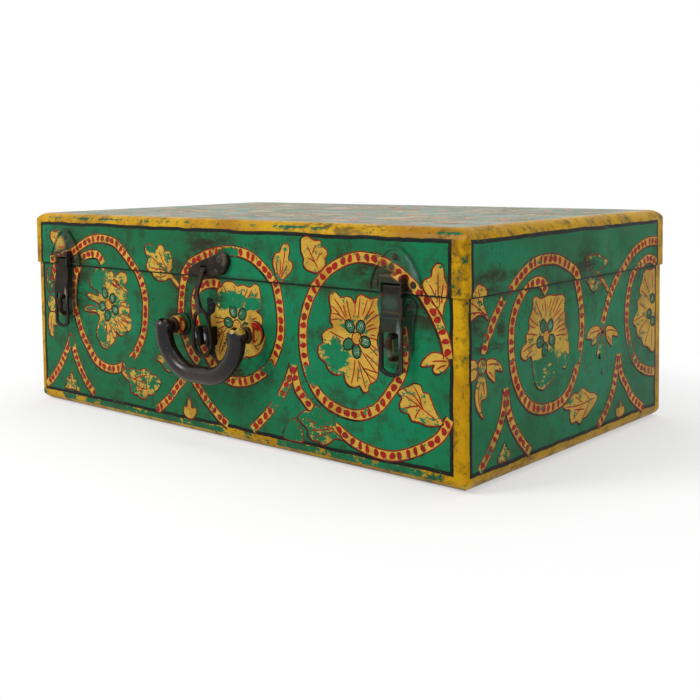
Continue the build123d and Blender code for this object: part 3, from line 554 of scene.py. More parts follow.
class Painting:
    """The strokes of one face, laid flat in millimetres before they go on the tin."""

    def __init__(self):
        self.bm = bmesh.new()
        self.wear = self.bm.verts.layers.float.new("wear")
        self.count = 0
        self.layer = 0

    def _verts(self, corners, paint, wear, level):
        """Vertices at the height of their paint."""
        lift = (LEVEL[paint] if level is None else level) + LAYER_STEP * (self.layer % LAYERS)
        verts = []
        for corner in corners:
            v = self.bm.verts.new((corner[0], corner[1], lift))
            v[self.wear] = wear
            verts.append(v)
        return verts

    def _ribbon(self, left, right, paint, wear, closed, level=None):
        """The strip between two lines of as many points."""
        self.count += 1
        left = self._verts(left, paint, wear, level)
        right = self._verts(right, paint, wear, level)
        count = len(left)
        for i in range(count if closed else count - 1):
            j = (i + 1) % count
            face = self.bm.faces.new((right[i], right[j], left[j], left[i]))
            face.material_index = PAINTS.index(paint)

    def fill(self, outline, paint, wear=0.3, level=None):
        """A flat shape inside a closed outline."""
        self.count += 1
        face = self.bm.faces.new(self._verts(outline, paint, wear, level))
        face.material_index = PAINTS.index(paint)

    def stroke(self, points, width, paint, wear=0.3, closed=False, taper=0.0, shift=0.0, level=None):
        """A brush stroke of uneven width along a smooth line, moved sideways by shift."""
        line = smooth_line(points, closed)
        left, right = [], []
        for i, p in enumerate(line):
            side = left_of(line, i, closed)
            t = i / max(len(line) - 1, 1)
            half = width / 2 * (1 + 0.16 * noise.noise(Vector((p.x * 0.23, p.y * 0.23, width))))
            if taper:
                half *= min(1.0, 0.25 + taper * min(t, 1 - t) * 4)
            left.append(p + side * (shift + half))
            right.append(p + side * (shift - half))
        self._ribbon(left, right, paint, wear, closed, level)

    def shadow(self, points, inner, reach, closed=False):
        """The dark line on the sides that face down and to the left; inner is half the band's width."""
        line = smooth_line(points, closed)
        turning = sum(a.x * b.y - b.x * a.y for a, b in zip(line, line[1:] + line[:1]))
        for side in ((-1 if turning > 0 else 1,) if closed else (-1, 1)):
            near, far = [], []
            for i, p in enumerate(line):
                out = left_of(line, i, closed) * side
                lean = max(0.0, out.dot(SHADOW_SIDE))
                near.append(p + out * (inner - 0.4))
                far.append(p + out * (inner + 0.45 + reach * lean))
            self._ribbon(far, near, "dark", LINE_WEAR, closed)

    def dabs(self, points, gap, size, wear):
        """Red dots dabbed along a line, each a little different."""
        line = smooth_line(points, step=0.5)
        travelled, target = 0.0, gap / 2
        for a, b in zip(line, line[1:]):
            travelled += (b - a).length
            if travelled < target:
                continue
            n = self.count
            target += gap * (1 + 0.16 * math.sin(n * 2.7))
            angle = math.atan2((b - a).y, (b - a).x)
            dab = []
            for k in range(10):
                turn = 2 * math.pi * k / 10
                reach = size * (1 + 0.14 * math.sin(turn * 2 + n) + 0.08 * math.sin(turn * 3 + 1.7 * n))
                squeeze = 0.92 + 0.12 * math.sin(n)
                spot = Vector((math.cos(turn) * reach * squeeze, math.sin(turn) * reach * 1.06))
                spot.rotate(Matrix.Rotation(angle + 0.3 * math.sin(1.3 * n), 2))
                dab.append(b + spot)
            self.fill(dab, "red", wear)

    def band(self, points, width, wear, gap):
        """A scroll band: dark edges, a cream middle and red dots."""
        self.layer += 1
        self.shadow(points, width / 2, 1.0)
        self.stroke(points, width - 0.6, "cream", wear)
        for side in (-1, 1):
            self.stroke(points, 0.95, "outline", LINE_WEAR, shift=side * width / 2)
        self.dabs(points, gap, width * 0.36, wear * 0.7)

    def shape(self, outline, wear, veins=(), edge=0.95):
        """A leaf or petal: cream, veined and outlined in red, and dark on its lower left."""
        self.layer += 1
        self.shadow(outline, 0, 0.9, closed=True)
        self.fill(smooth_line(outline, True), "cream", wear)
        self.stroke(outline, edge, "outline", LINE_WEAR, closed=True)
        for vein in veins:
            self.stroke(vein, 1.0, "red", 0.22, taper=1.2)

    def rose(self, outline, centre, petals, veins, wear):
        """A blown rose: one lobed cream shape, veins, green petals and a yellow heart."""
        c = Vector(centre)
        rays = []
        for vein in veins:
            points = [Vector(point) for point in vein]
            points.sort(key=lambda point: (point - c).length)
            for turn, inner, outer in ((0.0, 0.9, 1.05), (0.17, 1.2, 0.98)):
                turned = Matrix.Rotation(turn, 2)
                near = c + turned @ (points[0] - c) * inner
                middle = c + turned @ (points[1] - c)
                rays.append([near, middle, c + turned @ (points[-1] - c) * outer])
        self.shape(outline, wear, rays)
        for petal in petals:
            p = Vector(petal)
            out = (p - c).normalized()
            self.petal(oval(p, 4.7, 3.9, 14, math.atan2(out.y, out.x)))
            for side in (-1.1, 0.3, 1.5):
                across = Vector((-out.y, out.x)) * side
                self.stroke([p + across - out * 2.4, p + across * 1.1 + out * 0.4, p + across + out * 2.6],
                            0.8, "pale", 0.40, taper=1.0)
        ring = oval(c, 4.2, 4.2, 14)
        self.fill(ring, "centre", HEART_WEAR)
        self.stroke(ring, 0.9, "outline", HEART_WEAR, closed=True, level=CENTRE_RIM_LEVEL)
        for k in range(7):
            spot = c + Vector((math.cos(k * 0.9), math.sin(k * 0.9))) * (2.2 if k else 0)
            self.stroke([spot, spot + Vector((0.7, 0.2))], 0.7, "red", 0.2, level=SEED_LEVEL)

    def petal(self, outline):
        """A green petal with its dark rim."""
        self.fill(outline, "petal", PETAL_WEAR)
        self.stroke(outline, 1.0, "dark", HEART_WEAR, closed=True, level=PETAL_RIM_LEVEL)

    def lay_on(self, name, origin, along, up, normal, upper, lower, limits, behind=0.0):
        """Trims the strokes to the face's flat, cuts them at the seam and lays each part on its body.

        The base's face lies behind the lid's; where there is no lower body there is no seam.
        """
        bm = self.bm
        bmesh.ops.triangulate(bm, faces=bm.faces[:])
        cut_past(bm, (limits[0], 0), (-1, 0))
        cut_past(bm, (limits[1], 0), (1, 0))
        for suffix, body, side, depth in (("lid", upper, -1, 0.0), ("base", lower, 1, behind)):
            if body is None:
                continue
            half = bm.copy()
            if lower is not None:
                cut_past(half, (0, SEAM / MM - SEAM_GAP * side), (0, side))
            for v in half.verts:
                x, z, lift = v.co
                v.co = origin + along * (x * MM) + up * (z * MM) + normal * (lift * FILM - depth)
            for face in half.faces:
                face.normal_update()
                if face.normal.dot(normal) < 0:
                    face.normal_flip()
            mesh = bpy.data.meshes.new(f"ornament_{name}_{suffix}")
            half.to_mesh(mesh)
            half.free()
            for paint in PAINTS:
                mesh.materials.append(films[paint])
            piece = bpy.data.objects.new(mesh.name, mesh)
            bpy.context.scene.collection.objects.link(piece)
            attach(piece, body)
        bm.free()


def front_pattern(p):
    """The front's pattern, from left to right, in millimetres from the middle and the floor."""
    # left scroll
    p.band(
        [(-207, 106), (-203, 116), (-197, 126), (-189, 128), (-182, 129.5), (-175, 133), (-167.7, 136.6),
         (-160.6, 140), (-152, 143.7), (-143.4, 145.9), (-133.4, 146.6), (-123.4, 145.9), (-113.4, 143),
         (-106.3, 138), (-97.7, 130.9), (-89.1, 122.3), (-83.4, 112.3), (-80.3, 102.3), (-79.9, 92.3),
         (-81.3, 79.4), (-84.9, 68), (-91.3, 58), (-96.3, 52.3), (-103.4, 46.6), (-112, 41.6),
         (-120.6, 38.7), (-129.1, 38.2), (-139.1, 40.1), (-147.7, 44.4), (-156.3, 53.7), (-163.4, 62.3),
         (-169.1, 73.7), (-172.7, 85.1), (-173.7, 96.6), (-172.7, 108), (-168.4, 119.4), (-163.4, 126.6),
         (-154.9, 131.6), (-146.3, 133), (-139.1, 133), (-134.1, 129.4), (-132, 125.9)],
        width=7.0, wear=0.30, gap=6.3,
    )
    p.rose(
        [(-152, 106.6), (-150.6, 112.3), (-146.3, 114.5), (-146, 119.4), (-137.7, 122.3), (-129, 120.9),
         (-126.3, 118.7), (-122, 120), (-117.7, 115), (-114.9, 118.7), (-107.7, 120), (-103.4, 118),
         (-102.7, 112.3), (-106.3, 108.7), (-102.7, 105), (-102.3, 100), (-104.9, 95.9), (-100.6, 93.7),
         (-99.9, 88), (-102, 83.7), (-97.7, 82.3), (-97.7, 76.6), (-100.6, 72.3), (-106.3, 70.9),
         (-110.6, 67.3), (-115.6, 68.7), (-118.4, 70.9), (-118.4, 65), (-123.4, 59.4), (-127, 57.3),
         (-132, 54.4), (-137.7, 55.9), (-140.6, 60), (-143.4, 62.3), (-144.9, 68), (-142.7, 73.7),
         (-139.9, 80.9), (-146.3, 84), (-153, 83.7), (-160.6, 84.4), (-160.6, 87.3), (-153, 89.4),
         (-144, 89), (-140.6, 91.5), (-147.7, 93.7), (-153.4, 95), (-156.3, 98), (-152, 100),
         (-146.3, 98.7), (-141, 98), (-141.5, 102), (-146, 103.7)],
        centre=(-127.4, 91.6),
        petals=[(-132, 100.9), (-122, 97.2), (-119, 88), (-129.4, 82.3), (-135.6, 89.8)],
        veins=[[(-112, 104), (-118, 108), (-122, 110)], [(-117, 112), (-113, 106), (-107, 103)],
               [(-103, 91), (-110, 92), (-115, 90)], [(-101, 79), (-109, 82), (-115, 84)],
               [(-104, 73), (-110, 77), (-116, 80)], [(-120, 62), (-124, 70), (-128, 77)],
               [(-140, 62), (-136, 70), (-133, 77)], [(-133, 58), (-131, 66), (-131, 75)],
               [(-146, 116), (-141, 110), (-136, 106)], [(-158, 86), (-150, 86), (-144, 87)],
               [(-114, 70), (-117, 76), (-121, 80)], [(-135, 119), (-133, 112), (-130, 106)]],
        wear=0.36,
    )
    p.shape(
        [(-214, 114), (-211.5, 118), (-206, 115), (-204, 106), (-206, 97), (-212, 98), (-214.5, 106)],
        wear=0.62,
    )
    p.shape([(-213, 92), (-208, 93.5), (-203, 90), (-203, 81), (-209, 79.5), (-213.5, 84)], wear=0.35)
    p.shape(
        [(-212, 78), (-214, 69), (-212, 60), (-208, 57), (-205.8, 60), (-206.5, 67), (-201, 68),
         (-201.5, 75), (-205, 79.5)],
        wear=0.30,
        veins=[[(-209, 62), (-210, 70), (-208, 76)]],
    )
    # left stems and bud
    p.band(
        [(-180, 63), (-183.4, 54), (-190, 44), (-197, 34), (-205, 25), (-212, 18.5), (-219, 14.5)],
        width=6.6, wear=0.30, gap=6.0,
    )
    p.band(
        [(-180, 62), (-177, 50), (-172.5, 40), (-166, 30), (-158, 21), (-149.5, 14.5)],
        width=6.6, wear=0.30, gap=6.0,
    )
    p.shape(
        [(-191, 14), (-190, 21), (-186.5, 24), (-184.5, 22), (-183, 30), (-181, 30), (-179, 23),
         (-175.5, 24), (-173.5, 20), (-170, 16), (-171, 13), (-181, 14)],
        wear=0.42,
        veins=[[(-182, 15), (-182, 27)]],
    )
    # leaves beside the left scroll
    p.shape(
        [(-76.3, 143), (-70.6, 144.4), (-66.3, 143), (-62.5, 140.5), (-60.8, 143.7), (-57.7, 144.4),
         (-54.1, 142.3), (-53.4, 139.5), (-47.7, 140), (-44.9, 135), (-44.9, 127), (-48, 122.8),
         (-43, 118.5), (-38.5, 114), (-40.5, 111.5), (-44.5, 115), (-49.5, 118.6), (-54.9, 116.2),
         (-63.4, 115.9), (-69, 118.7), (-70.8, 121.2), (-74.9, 125), (-75.6, 128.7), (-73.4, 132.3),
         (-76.5, 138)],
        wear=0.30,
        veins=[[(-50, 123), (-60, 129), (-71, 135.5)], [(-52, 124.5), (-61, 125), (-72, 126)],
               [(-51, 126), (-56, 132), (-60, 139)], [(-53, 120.5), (-60, 118.6), (-67, 119.5)]],
    )
    p.shape(
        [(-112.7, 40.9), (-106.3, 41.9), (-100.6, 40.9), (-96.3, 42.6), (-89, 41), (-83.4, 43.3),
         (-77.7, 42.3), (-74.9, 39.4), (-69, 39.4), (-62.7, 34.4), (-66.3, 28.7), (-73.4, 23), (-79, 23),
         (-82, 19.4), (-89, 18.7), (-92, 20.9), (-97.7, 20.9), (-101.3, 23.7), (-102, 29.4), (-107.7, 33),
         (-112, 36.6)],
        wear=0.42,
        veins=[[(-111, 38), (-95, 33), (-80, 32)], [(-98, 32), (-90, 36), (-80, 38)],
               [(-96, 30), (-88, 27), (-78, 27)], [(-92, 24), (-88, 25), (-84, 28)]],
    )
    p.shape([(-68.5, 52.5), (-63, 57), (-58, 56), (-52, 50), (-50, 44), (-57, 46), (-63, 51)], wear=0.45)
    # middle scroll, which passes under the iron
    p.band(
        [(-18, 56), (-25.7, 62.3), (-31.4, 71.5), (-35.7, 80.9), (-37, 90), (-36.6, 100), (-35.5, 107),
         (-33.6, 116.6), (-29.3, 125), (-22.9, 131.6), (-14.3, 135.4), (-5.7, 138.7), (2.9, 140.9),
         (12.9, 142.6), (22.9, 143.4), (32.9, 142.3), (42.9, 139.4), (51.4, 134.4), (58.6, 128.7),
         (64.3, 122.3), (67.1, 113.7), (68.8, 103.7), (69.4, 93.7), (68.6, 83.7), (65.7, 75.1),
         (61.4, 66.6), (54.3, 58.7), (45.7, 53), (37.1, 48.7), (28.6, 46.6), (20, 45.9), (10, 48),
         (2, 53), (-5, 59.5), (-11, 67), (-16, 77), (-19.7, 88), (-21.4, 98), (-20.5, 106), (-16, 113),
         (-8.6, 116.6), (2, 118), (7, 117)],
        width=7.2, wear=0.30, gap=6.6,
    )
    p.rose(
        [(-2.9, 98), (-3.5, 88), (-2, 75), (1.4, 64), (4.3, 59.5), (10, 61.6), (13, 66), (20, 62),
         (28, 62.5), (34, 66), (37, 65.9), (42.9, 67.5), (48.6, 70.9), (52, 76.6), (53.6, 82.3),
         (50.5, 88), (51.4, 93.7), (49.5, 98), (45, 100.3), (50, 102.3), (50.5, 106.6), (49.3, 113.7),
         (47.9, 118.7), (43.6, 120), (38.6, 117.3), (31.4, 118.6), (25.7, 117.3), (21.4, 119.8),
         (14.3, 120), (10.7, 118), (8.6, 115.5), (5, 114), (3.8, 108), (3.5, 102.3)],
        centre=(24.6, 88),
        petals=[(21, 98), (30.5, 96.8), (34.5, 87), (25.5, 78.6), (15.7, 89.4)],
        veins=[[(1, 70), (6, 78), (12, 84)], [(0, 80), (6, 84), (12, 87)], [(2, 92), (8, 92), (14, 92)],
               [(6, 65), (11, 72), (16, 79)], [(12, 115), (15, 109), (18, 104)],
               [(23, 116), (24, 110), (25, 104)], [(47, 92), (42, 91), (38, 90)],
               [(50, 82), (44, 83), (38, 84)], [(46, 72), (41, 76), (36, 80)],
               [(36, 115), (33, 109), (31, 103)], [(46, 113), (40, 107), (35, 102)],
               [(28, 65), (27, 70), (26, 74)]],
        wear=0.28,
    )
    # painted shade: dark paint on the face where the middle hasp's link and keeper shade it
    p.fill([(-7.5, 106), (-3, 107), (1.6, 105.3), (2.4, 100), (1.0, 96), (-2.4, 93.8), (-5, 91.2),
            (-7.6, 94.6), (-6.8, 100)], "dark", 0.2, level=PAINTED_SHADE_LEVEL)
    p.fill([(-5.5, 70.6), (-1, 71.4), (1.3, 69.6), (0.2, 65.5), (1.0, 61.8), (-2, 60.6), (-4.8, 63.6),
            (-4, 67)], "dark", 0.2, level=PAINTED_SHADE_LEVEL)
    # middle stems and bud
    p.band(
        [(-29, 50), (-36, 40.5), (-44, 33), (-50, 26), (-57, 20), (-67.5, 12.5)],
        width=6.8, wear=0.30, gap=6.4,
    )
    p.band(
        [(-30, 50), (-24, 42), (-18.6, 36.6), (-11.4, 29.4), (-2.9, 22.3), (5.7, 16), (13.5, 12.5)],
        width=6.8, wear=0.30, gap=6.4,
    )
    p.shape(
        [(-36.5, 15), (-35.5, 19.5), (-32.5, 19.2), (-31.5, 25), (-29.5, 27), (-27.8, 24.5), (-27, 19.2),
         (-22.5, 20), (-21.3, 17), (-24, 12.5), (-27, 10.6), (-31, 10.6), (-34.5, 12)],
        wear=0.28,
    )
    # leaves above, between the scrolls
    p.shape(
        [(68.6, 123.7), (66.4, 128.7), (64, 135), (64.3, 140), (67, 143.7), (70.7, 144.4), (72, 148),
         (75.7, 151), (79.3, 150), (80.3, 145), (78.6, 140), (82, 138), (82.9, 134.4), (80, 130),
         (75.7, 126.6), (71.5, 122.4)],
        wear=0.30,
        veins=[[(70, 125), (71, 132), (71, 140)], [(71, 126), (75, 131), (78, 135)],
               [(69.5, 127), (67.5, 132), (67, 138)], [(72, 128), (74, 137), (76, 146)]],
    )
    p.shape(
        [(100.7, 132.3), (95.7, 133.7), (92.9, 137.3), (93.6, 140.9), (91.4, 145), (90.7, 150),
         (91.4, 155), (96.4, 156.6), (100.7, 155), (104.3, 153.7), (108.6, 154), (110.9, 150),
         (114.3, 148), (115, 144.4), (112.9, 141.6), (112.9, 137.3), (108.6, 133), (104.3, 131.6)],
        wear=0.28,
        veins=[[(107, 134), (101, 143), (96, 151)], [(104, 139), (99, 141), (96, 142)],
               [(105, 140), (108, 144), (111, 146)], [(101, 144), (103, 148), (106, 151)]],
    )
    p.stroke([(107, 133), (110, 129.5)], 2.4, "cream", 0.2)
    # right stems and bud
    p.band(
        [(80.7, 65), (76, 54), (69, 42.5), (59, 31), (50, 22.3), (39, 12.5)],
        width=7.0, wear=0.32, gap=6.6,
    )
    p.band([(80.7, 65), (84.6, 50), (90, 43.7), (98, 36.5)], width=7.0, wear=0.30, gap=6.6)
    p.shape(
        [(71, 11.5), (71.5, 18.5), (75, 21.5), (78, 26), (80.5, 27.5), (83, 26), (85, 21.5), (88.5, 20),
         (89.5, 14), (87.5, 11)],
        wear=0.50,
    )
    # right scroll
    p.band(
        [(212.5, 84), (210.7, 93.7), (207.1, 102.3), (202.9, 110), (197.1, 118), (191.4, 125),
         (187.1, 129.4), (178.6, 135), (170, 140), (161.4, 143), (152.9, 144), (142.9, 144.4),
         (132.9, 142.3), (124.3, 138.7), (115.7, 133.7), (108.6, 127.3), (102.1, 120.9), (97.1, 113),
         (93.6, 105), (91.1, 96.6), (90.4, 86.6), (90.7, 76.6), (92.9, 66.6), (97.1, 57.3), (104.3, 48),
         (112.9, 42.3), (122.9, 39), (132.9, 37.7), (141.4, 38.4), (150, 41.6), (157.1, 45.9),
         (164.3, 53.7), (170, 60.9), (175, 68), (177.9, 76.6), (179.7, 85), (179.5, 95), (176, 106),
         (169, 115), (160, 120)],
        width=7.2, wear=0.27, gap=7.0,
    )
    p.band(
        [(213.5, 46), (207.1, 35), (198.6, 28), (188.6, 22.3), (178.6, 18), (168.6, 15.2), (158.6, 14.7),
         (150, 15.7), (141.4, 17.3), (132.9, 20), (125.7, 23.7), (119, 27.3)],
        width=6.8, wear=0.27, gap=6.8,
    )
    p.rose(
        [(117, 106.6), (115.7, 111), (115.3, 116.6), (117.9, 119.2), (122, 119), (125.4, 116),
         (130, 117.3), (134.5, 116.4), (137.8, 112.5), (139.3, 117), (142.9, 119.4), (147.5, 118),
         (152, 117), (156, 118.4), (158.6, 116), (159.2, 108), (159.5, 100.9), (157, 93.7), (156.2, 88),
         (157.8, 82.3), (157.2, 73.7), (156.6, 66), (153.2, 61.8), (149.5, 60), (148.4, 55.3),
         (144.3, 54.2), (141, 58), (137.1, 56.4), (131.4, 57.1), (128.3, 60.9), (127.3, 65.5),
         (124, 63.3), (118.6, 63.5), (113.5, 66), (110.9, 70.6), (106.8, 72.3), (104.3, 76.6),
         (104.8, 81), (109, 84.2), (108.3, 89.5), (112.9, 93.3), (118.3, 95.5), (116.4, 98.5),
         (115.7, 102.6)],
        centre=(138.9, 89.7),
        petals=[(132.9, 97.3), (142.3, 97.6), (146, 88), (138.6, 80.9), (131.4, 85)],
        veins=[[(118, 104), (124, 104), (129, 101)], [(120, 114), (125, 109), (129, 103)],
               [(131, 114), (132, 108), (134, 102)], [(142, 116), (141, 109), (140, 103)],
               [(153, 115), (149, 108), (145, 102)], [(158, 107), (152, 104), (147, 100)],
               [(156, 98), (151, 97), (147, 95)], [(156, 90), (152, 91), (149, 91)],
               [(156, 80), (151, 84), (148, 86)], [(154, 70), (148, 76), (143, 81)],
               [(154, 65), (146, 68), (141, 73)], [(134, 60), (136, 67), (137, 74)],
               [(146, 58), (143, 66), (140, 74)], [(109, 80), (117, 79), (124, 80)],
               [(116, 92), (122, 90), (127, 88)]],
        wear=0.27,
    )
    # leaves round the right scroll
    p.shape(
        [(194.3, 127.3), (195, 132), (200.7, 135), (202, 140), (205.7, 143.4), (210, 142.3), (211, 135),
         (213, 130), (212.3, 123), (209.5, 117), (208.3, 110.9), (204.3, 115), (199, 119.5)],
        wear=0.30,
        veins=[[(206, 116), (206, 126), (206, 138)], [(205, 119), (202, 126), (199, 130)],
               [(207, 118), (209, 125), (210, 131)]],
    )
    p.shape(
        [(191.4, 77.3), (194.3, 82.3), (200, 86.6), (205.7, 87.1), (211.4, 84.6), (213, 80.9),
         (211.4, 78), (207, 74.2), (202.9, 73.5), (200.5, 75.9), (202, 79), (197, 77.6)],
        wear=0.25,
        veins=[[(200, 81), (206, 82), (212, 82.5)], [(203, 76), (207, 78.5), (211, 80)]],
    )
    p.shape(
        [(172.9, 58), (177, 60.9), (181.4, 63), (186.4, 65.4), (191.4, 64.4), (193, 60.3), (197, 60.4),
         (200, 55), (202.9, 49.4), (208.6, 42.3), (201.4, 40), (195.7, 39.4), (190.7, 40.7),
         (184.3, 40.9), (181.4, 45), (175.7, 45.9), (174.3, 50.9), (176.4, 54.4)],
        wear=0.30,
        veins=[[(177, 57), (188, 52), (205, 43)], [(186, 63), (190, 57), (192, 51)],
               [(178, 60), (186, 57), (193, 50)], [(186, 42), (188, 46), (191, 50)],
               [(178, 48), (184, 50), (189, 51)]],
    )
    p.shape(
        [(120, 26.6), (117, 32.3), (112.9, 35), (107, 35.6), (105.7, 38.4), (100, 38.9), (97.6, 35.2),
         (91.4, 34.4), (86.4, 30.9), (84.8, 28), (90, 23.7), (93.8, 20.7), (94.3, 16.6), (98.6, 14.2),
         (104, 14.4), (107, 12.3), (112.9, 14.4), (119.3, 18.7), (125.7, 19.4)],
        wear=0.46,
        veins=[[(96, 21), (107, 23), (119, 26)], [(100, 17), (109, 20), (118, 24)],
               [(92, 29), (104, 26), (116, 26)], [(104, 34), (109, 30), (115, 28)]],
    )
    # rose and dabs at the top left, which run over the iron plate
    p.shape(
        [(-205, 148.5), (-203, 151), (-197.5, 150), (-192, 152), (-186, 150), (-181, 146), (-180, 138),
         (-184, 134), (-192, 134), (-198, 136), (-201, 140), (-205, 144)],
        wear=0.30,
        veins=[[(-200, 147), (-195, 141), (-190, 137)], [(-188, 148), (-189, 142), (-190, 137)],
               [(-200, 137), (-192, 138.5), (-184, 137)]],
    )


def right_pattern(p):
    """The right face's pattern, in millimetres from the front edge and the floor."""
    p.band(
        [(17.5, 86), (20, 95), (24.3, 99.4), (28.6, 105.9), (34.3, 112.3), (40, 118), (47, 123.7),
         (54.3, 128.7), (62.9, 133.7), (72.9, 138), (84.3, 140), (95.7, 140), (105.7, 139),
         (115.7, 135.9), (124.3, 132.3), (132.9, 127.3), (137.9, 118.7), (141.4, 108), (143.6, 99.4),
         (144.3, 88), (142.9, 78), (140.7, 69.4), (137, 60.9), (132, 52.3), (125.7, 45), (117, 40),
         (107, 38), (97, 37.7), (87, 38.7), (77, 41.6), (68.6, 46.6), (61.4, 53.7), (55.7, 62.3),
         (51.7, 72.3), (50, 82.3), (49.7, 92.3), (50.7, 100.9), (54.3, 109.4), (59.3, 115.9),
         (65.7, 121.6), (72.9, 125), (81.4, 125.9), (88.6, 123.7), (94.5, 117.5)],
        width=7.2, wear=0.28, gap=6.6,
    )
    p.rose(
        [(77, 115), (81.4, 115.9), (87, 113.7), (91.4, 114.4), (98, 115.2), (105.7, 114.2), (111.4, 114),
         (117, 113.4), (120, 109.4), (118.6, 103.7), (120, 98), (119.3, 93.7), (122.9, 88), (124.3, 82.3),
         (125.7, 77.3), (125, 68), (120, 61.6), (112.9, 63.7), (105.7, 58), (97, 53.7), (88.6, 51.6),
         (81.4, 55), (78.6, 60.9), (76, 70), (74.3, 76.6), (67, 74.8), (61.4, 78.7), (62.9, 83.7),
         (68.6, 86.9), (67.6, 90.9), (71.8, 95), (71.4, 100.9), (74.6, 105), (76.5, 109.4)],
        centre=(94.3, 87.3),
        petals=[(90, 94.9), (99.4, 94), (85.7, 84.6), (92, 78.6), (101.5, 84)],
        veins=[[(80, 112), (84, 107), (88, 102)], [(92, 112), (93, 107), (94, 102)],
               [(106, 112), (102, 107), (99, 102)], [(116, 110), (110, 105), (104, 99)],
               [(118, 101), (112, 99), (106, 96)], [(118, 93), (112, 92), (106, 90)],
               [(121, 85), (114, 86), (108, 86)], [(73, 102), (79, 98), (84, 96)],
               [(70, 92), (76, 91), (81, 90)], [(65, 81), (72, 83), (79, 84)],
               [(110, 67), (114, 69), (120, 66)]],
        wear=0.27,
    )
    for x, z in ((15.3, 78.3), (176, 80.2)):
        p.shape(
            [(x + 5.5, z + 3.3), (x + 13, z + 3.2), (x + 20.4, z - 0.3), (x + 24, z - 6),
             (x + 19, z - 5.3), (x + 14.7, z - 4.6), (x + 14.7, z - 12), (x + 10.4, z - 9.6),
             (x + 6.1, z - 6), (x + 4.7, z - 1.7)],
            wear=0.27,
            veins=[[(x + 6, z), (x + 13, z), (x + 20, z - 2)],
                   [(x + 7, z - 4), (x + 10, z - 6), (x + 13, z - 9)]],
        )
    p.shape(
        [(12, 73), (8.6, 68), (7, 60.9), (8.6, 53.7), (12.9, 48), (16.9, 45), (14.3, 50.9), (13.6, 56.6),
         (17.9, 57.3), (20.4, 58.7), (20.4, 65), (18.1, 71.5)],
        wear=0.27,
        veins=[[(14, 70), (11, 63), (12, 53)], [(16, 69), (17, 64), (18, 60)]],
    )
    p.shape(
        [(-1, 82.5), (3, 84.2), (8, 83), (10.6, 79), (9, 73), (4, 70.7), (-1, 72)],
        wear=0.34,
        veins=[[(1, 77), (5, 78), (9, 78)]],
    )
    p.shape(
        [(20.2, 78.3), (18.7, 82.1), (15.3, 83.5), (11.6, 82), (10.1, 78.3), (11.6, 74.6), (15.3, 73.1),
         (18.9, 74.6)],
        wear=0.34,
        veins=[[(12.5, 78), (15, 80.6), (18, 78)]],
        edge=1.6,
    )
    p.shape(
        [(150.2, 78.7), (154.3, 83.7), (161.4, 86.2), (170, 85), (173.5, 81), (167, 78.9), (165.7, 73.7),
         (158.6, 72.8), (159.3, 76.8)],
        wear=0.32,
        veins=[[(156, 81), (163, 82), (171, 82)], [(161, 75.5), (166, 78), (171, 80)]],
    )
    p.shape(
        [(172, 73), (167.5, 68), (166, 62.3), (168.5, 61.5), (171, 65), (174, 58), (175, 49), (179, 55),
         (180.5, 64), (180, 71)],
        wear=0.42,
    )
    p.stroke([(171, 75), (176, 80), (178, 85)], 2.2, "red", 0.25)
    p.stroke([(180, 76), (176, 80), (171, 84)], 2.0, "red", 0.25)
    p.shape(
        [(-1, 121), (4.3, 127), (8.6, 130.8), (12.9, 129.6), (17, 128.2), (18.8, 124), (16.5, 119.6),
         (18.6, 115), (23, 106.6), (17, 110.3), (11.4, 111), (5.7, 109.4), (-1, 108)],
        wear=0.27,
        veins=[[(20, 110), (10, 116), (0, 121)], [(18, 111), (10, 113), (1, 113)],
               [(12, 119), (10, 124), (9, 128)]],
    )
    p.band(
        [(43, 60), (39.5, 44.5), (33.6, 34.4), (25.7, 25), (18.6, 18), (12, 12.8)],
        width=6.6, wear=0.30, gap=6.2,
    )
    p.band(
        [(43, 60), (45.7, 46.6), (50, 36.6), (57, 27.3), (64.3, 20), (73, 12.3)],
        width=6.6, wear=0.27, gap=6.2,
    )
    p.shape(
        [(34.5, 13), (33.2, 17), (36.5, 19.4), (39, 22), (41, 25.5), (43.2, 22.6), (45, 20), (47.6, 18.5),
         (47, 14.5), (42, 12.8)],
        wear=0.45,
    )
    p.shape(
        [(117, 35), (122, 36.5), (126, 36.4), (128.6, 40), (134.3, 41.8), (139, 40.8), (144.3, 43.9),
         (150, 41.6), (155.7, 38.7), (162, 37.3), (167.6, 33.7), (163.6, 28.7), (157, 25), (151.4, 21.8),
         (145.7, 21.1), (141.4, 18.3), (135.7, 21.4), (130, 20.7), (126.6, 26.6), (127, 31), (122, 32)],
        wear=0.26,
        veins=[[(120, 34), (140, 32), (164, 33.5)], [(135, 39), (142, 35), (146, 32.6)],
               [(148, 40), (153, 36), (156, 33.6)], [(130, 23), (138, 27), (144, 31)],
               [(144, 21), (150, 26), (154, 31)], [(133, 30), (140, 29), (148, 28)]],
    )
    p.band(
        [(175.5, 87), (178, 91.5), (181.4, 98), (187, 106.6), (194.3, 114.4), (201.4, 121.6), (210, 128),
         (218.6, 133.7), (228.6, 138), (238.6, 140.9), (248.6, 142.3), (258.6, 142.3), (264, 141.6)],
        width=7.0, wear=0.28, gap=6.2,
    )
    p.band(
        [(262, 124.6), (255.7, 128), (247, 128.9), (238.6, 126.6), (230, 123), (223.6, 117.3),
         (218.6, 108), (215.7, 98), (214.8, 88), (215.5, 78), (218.4, 68), (222.9, 59.4), (230, 50.9),
         (238.6, 45), (248.6, 40.9), (258.6, 38.5), (264, 37.7)],
        width=7.0, wear=0.28, gap=6.2,
    )
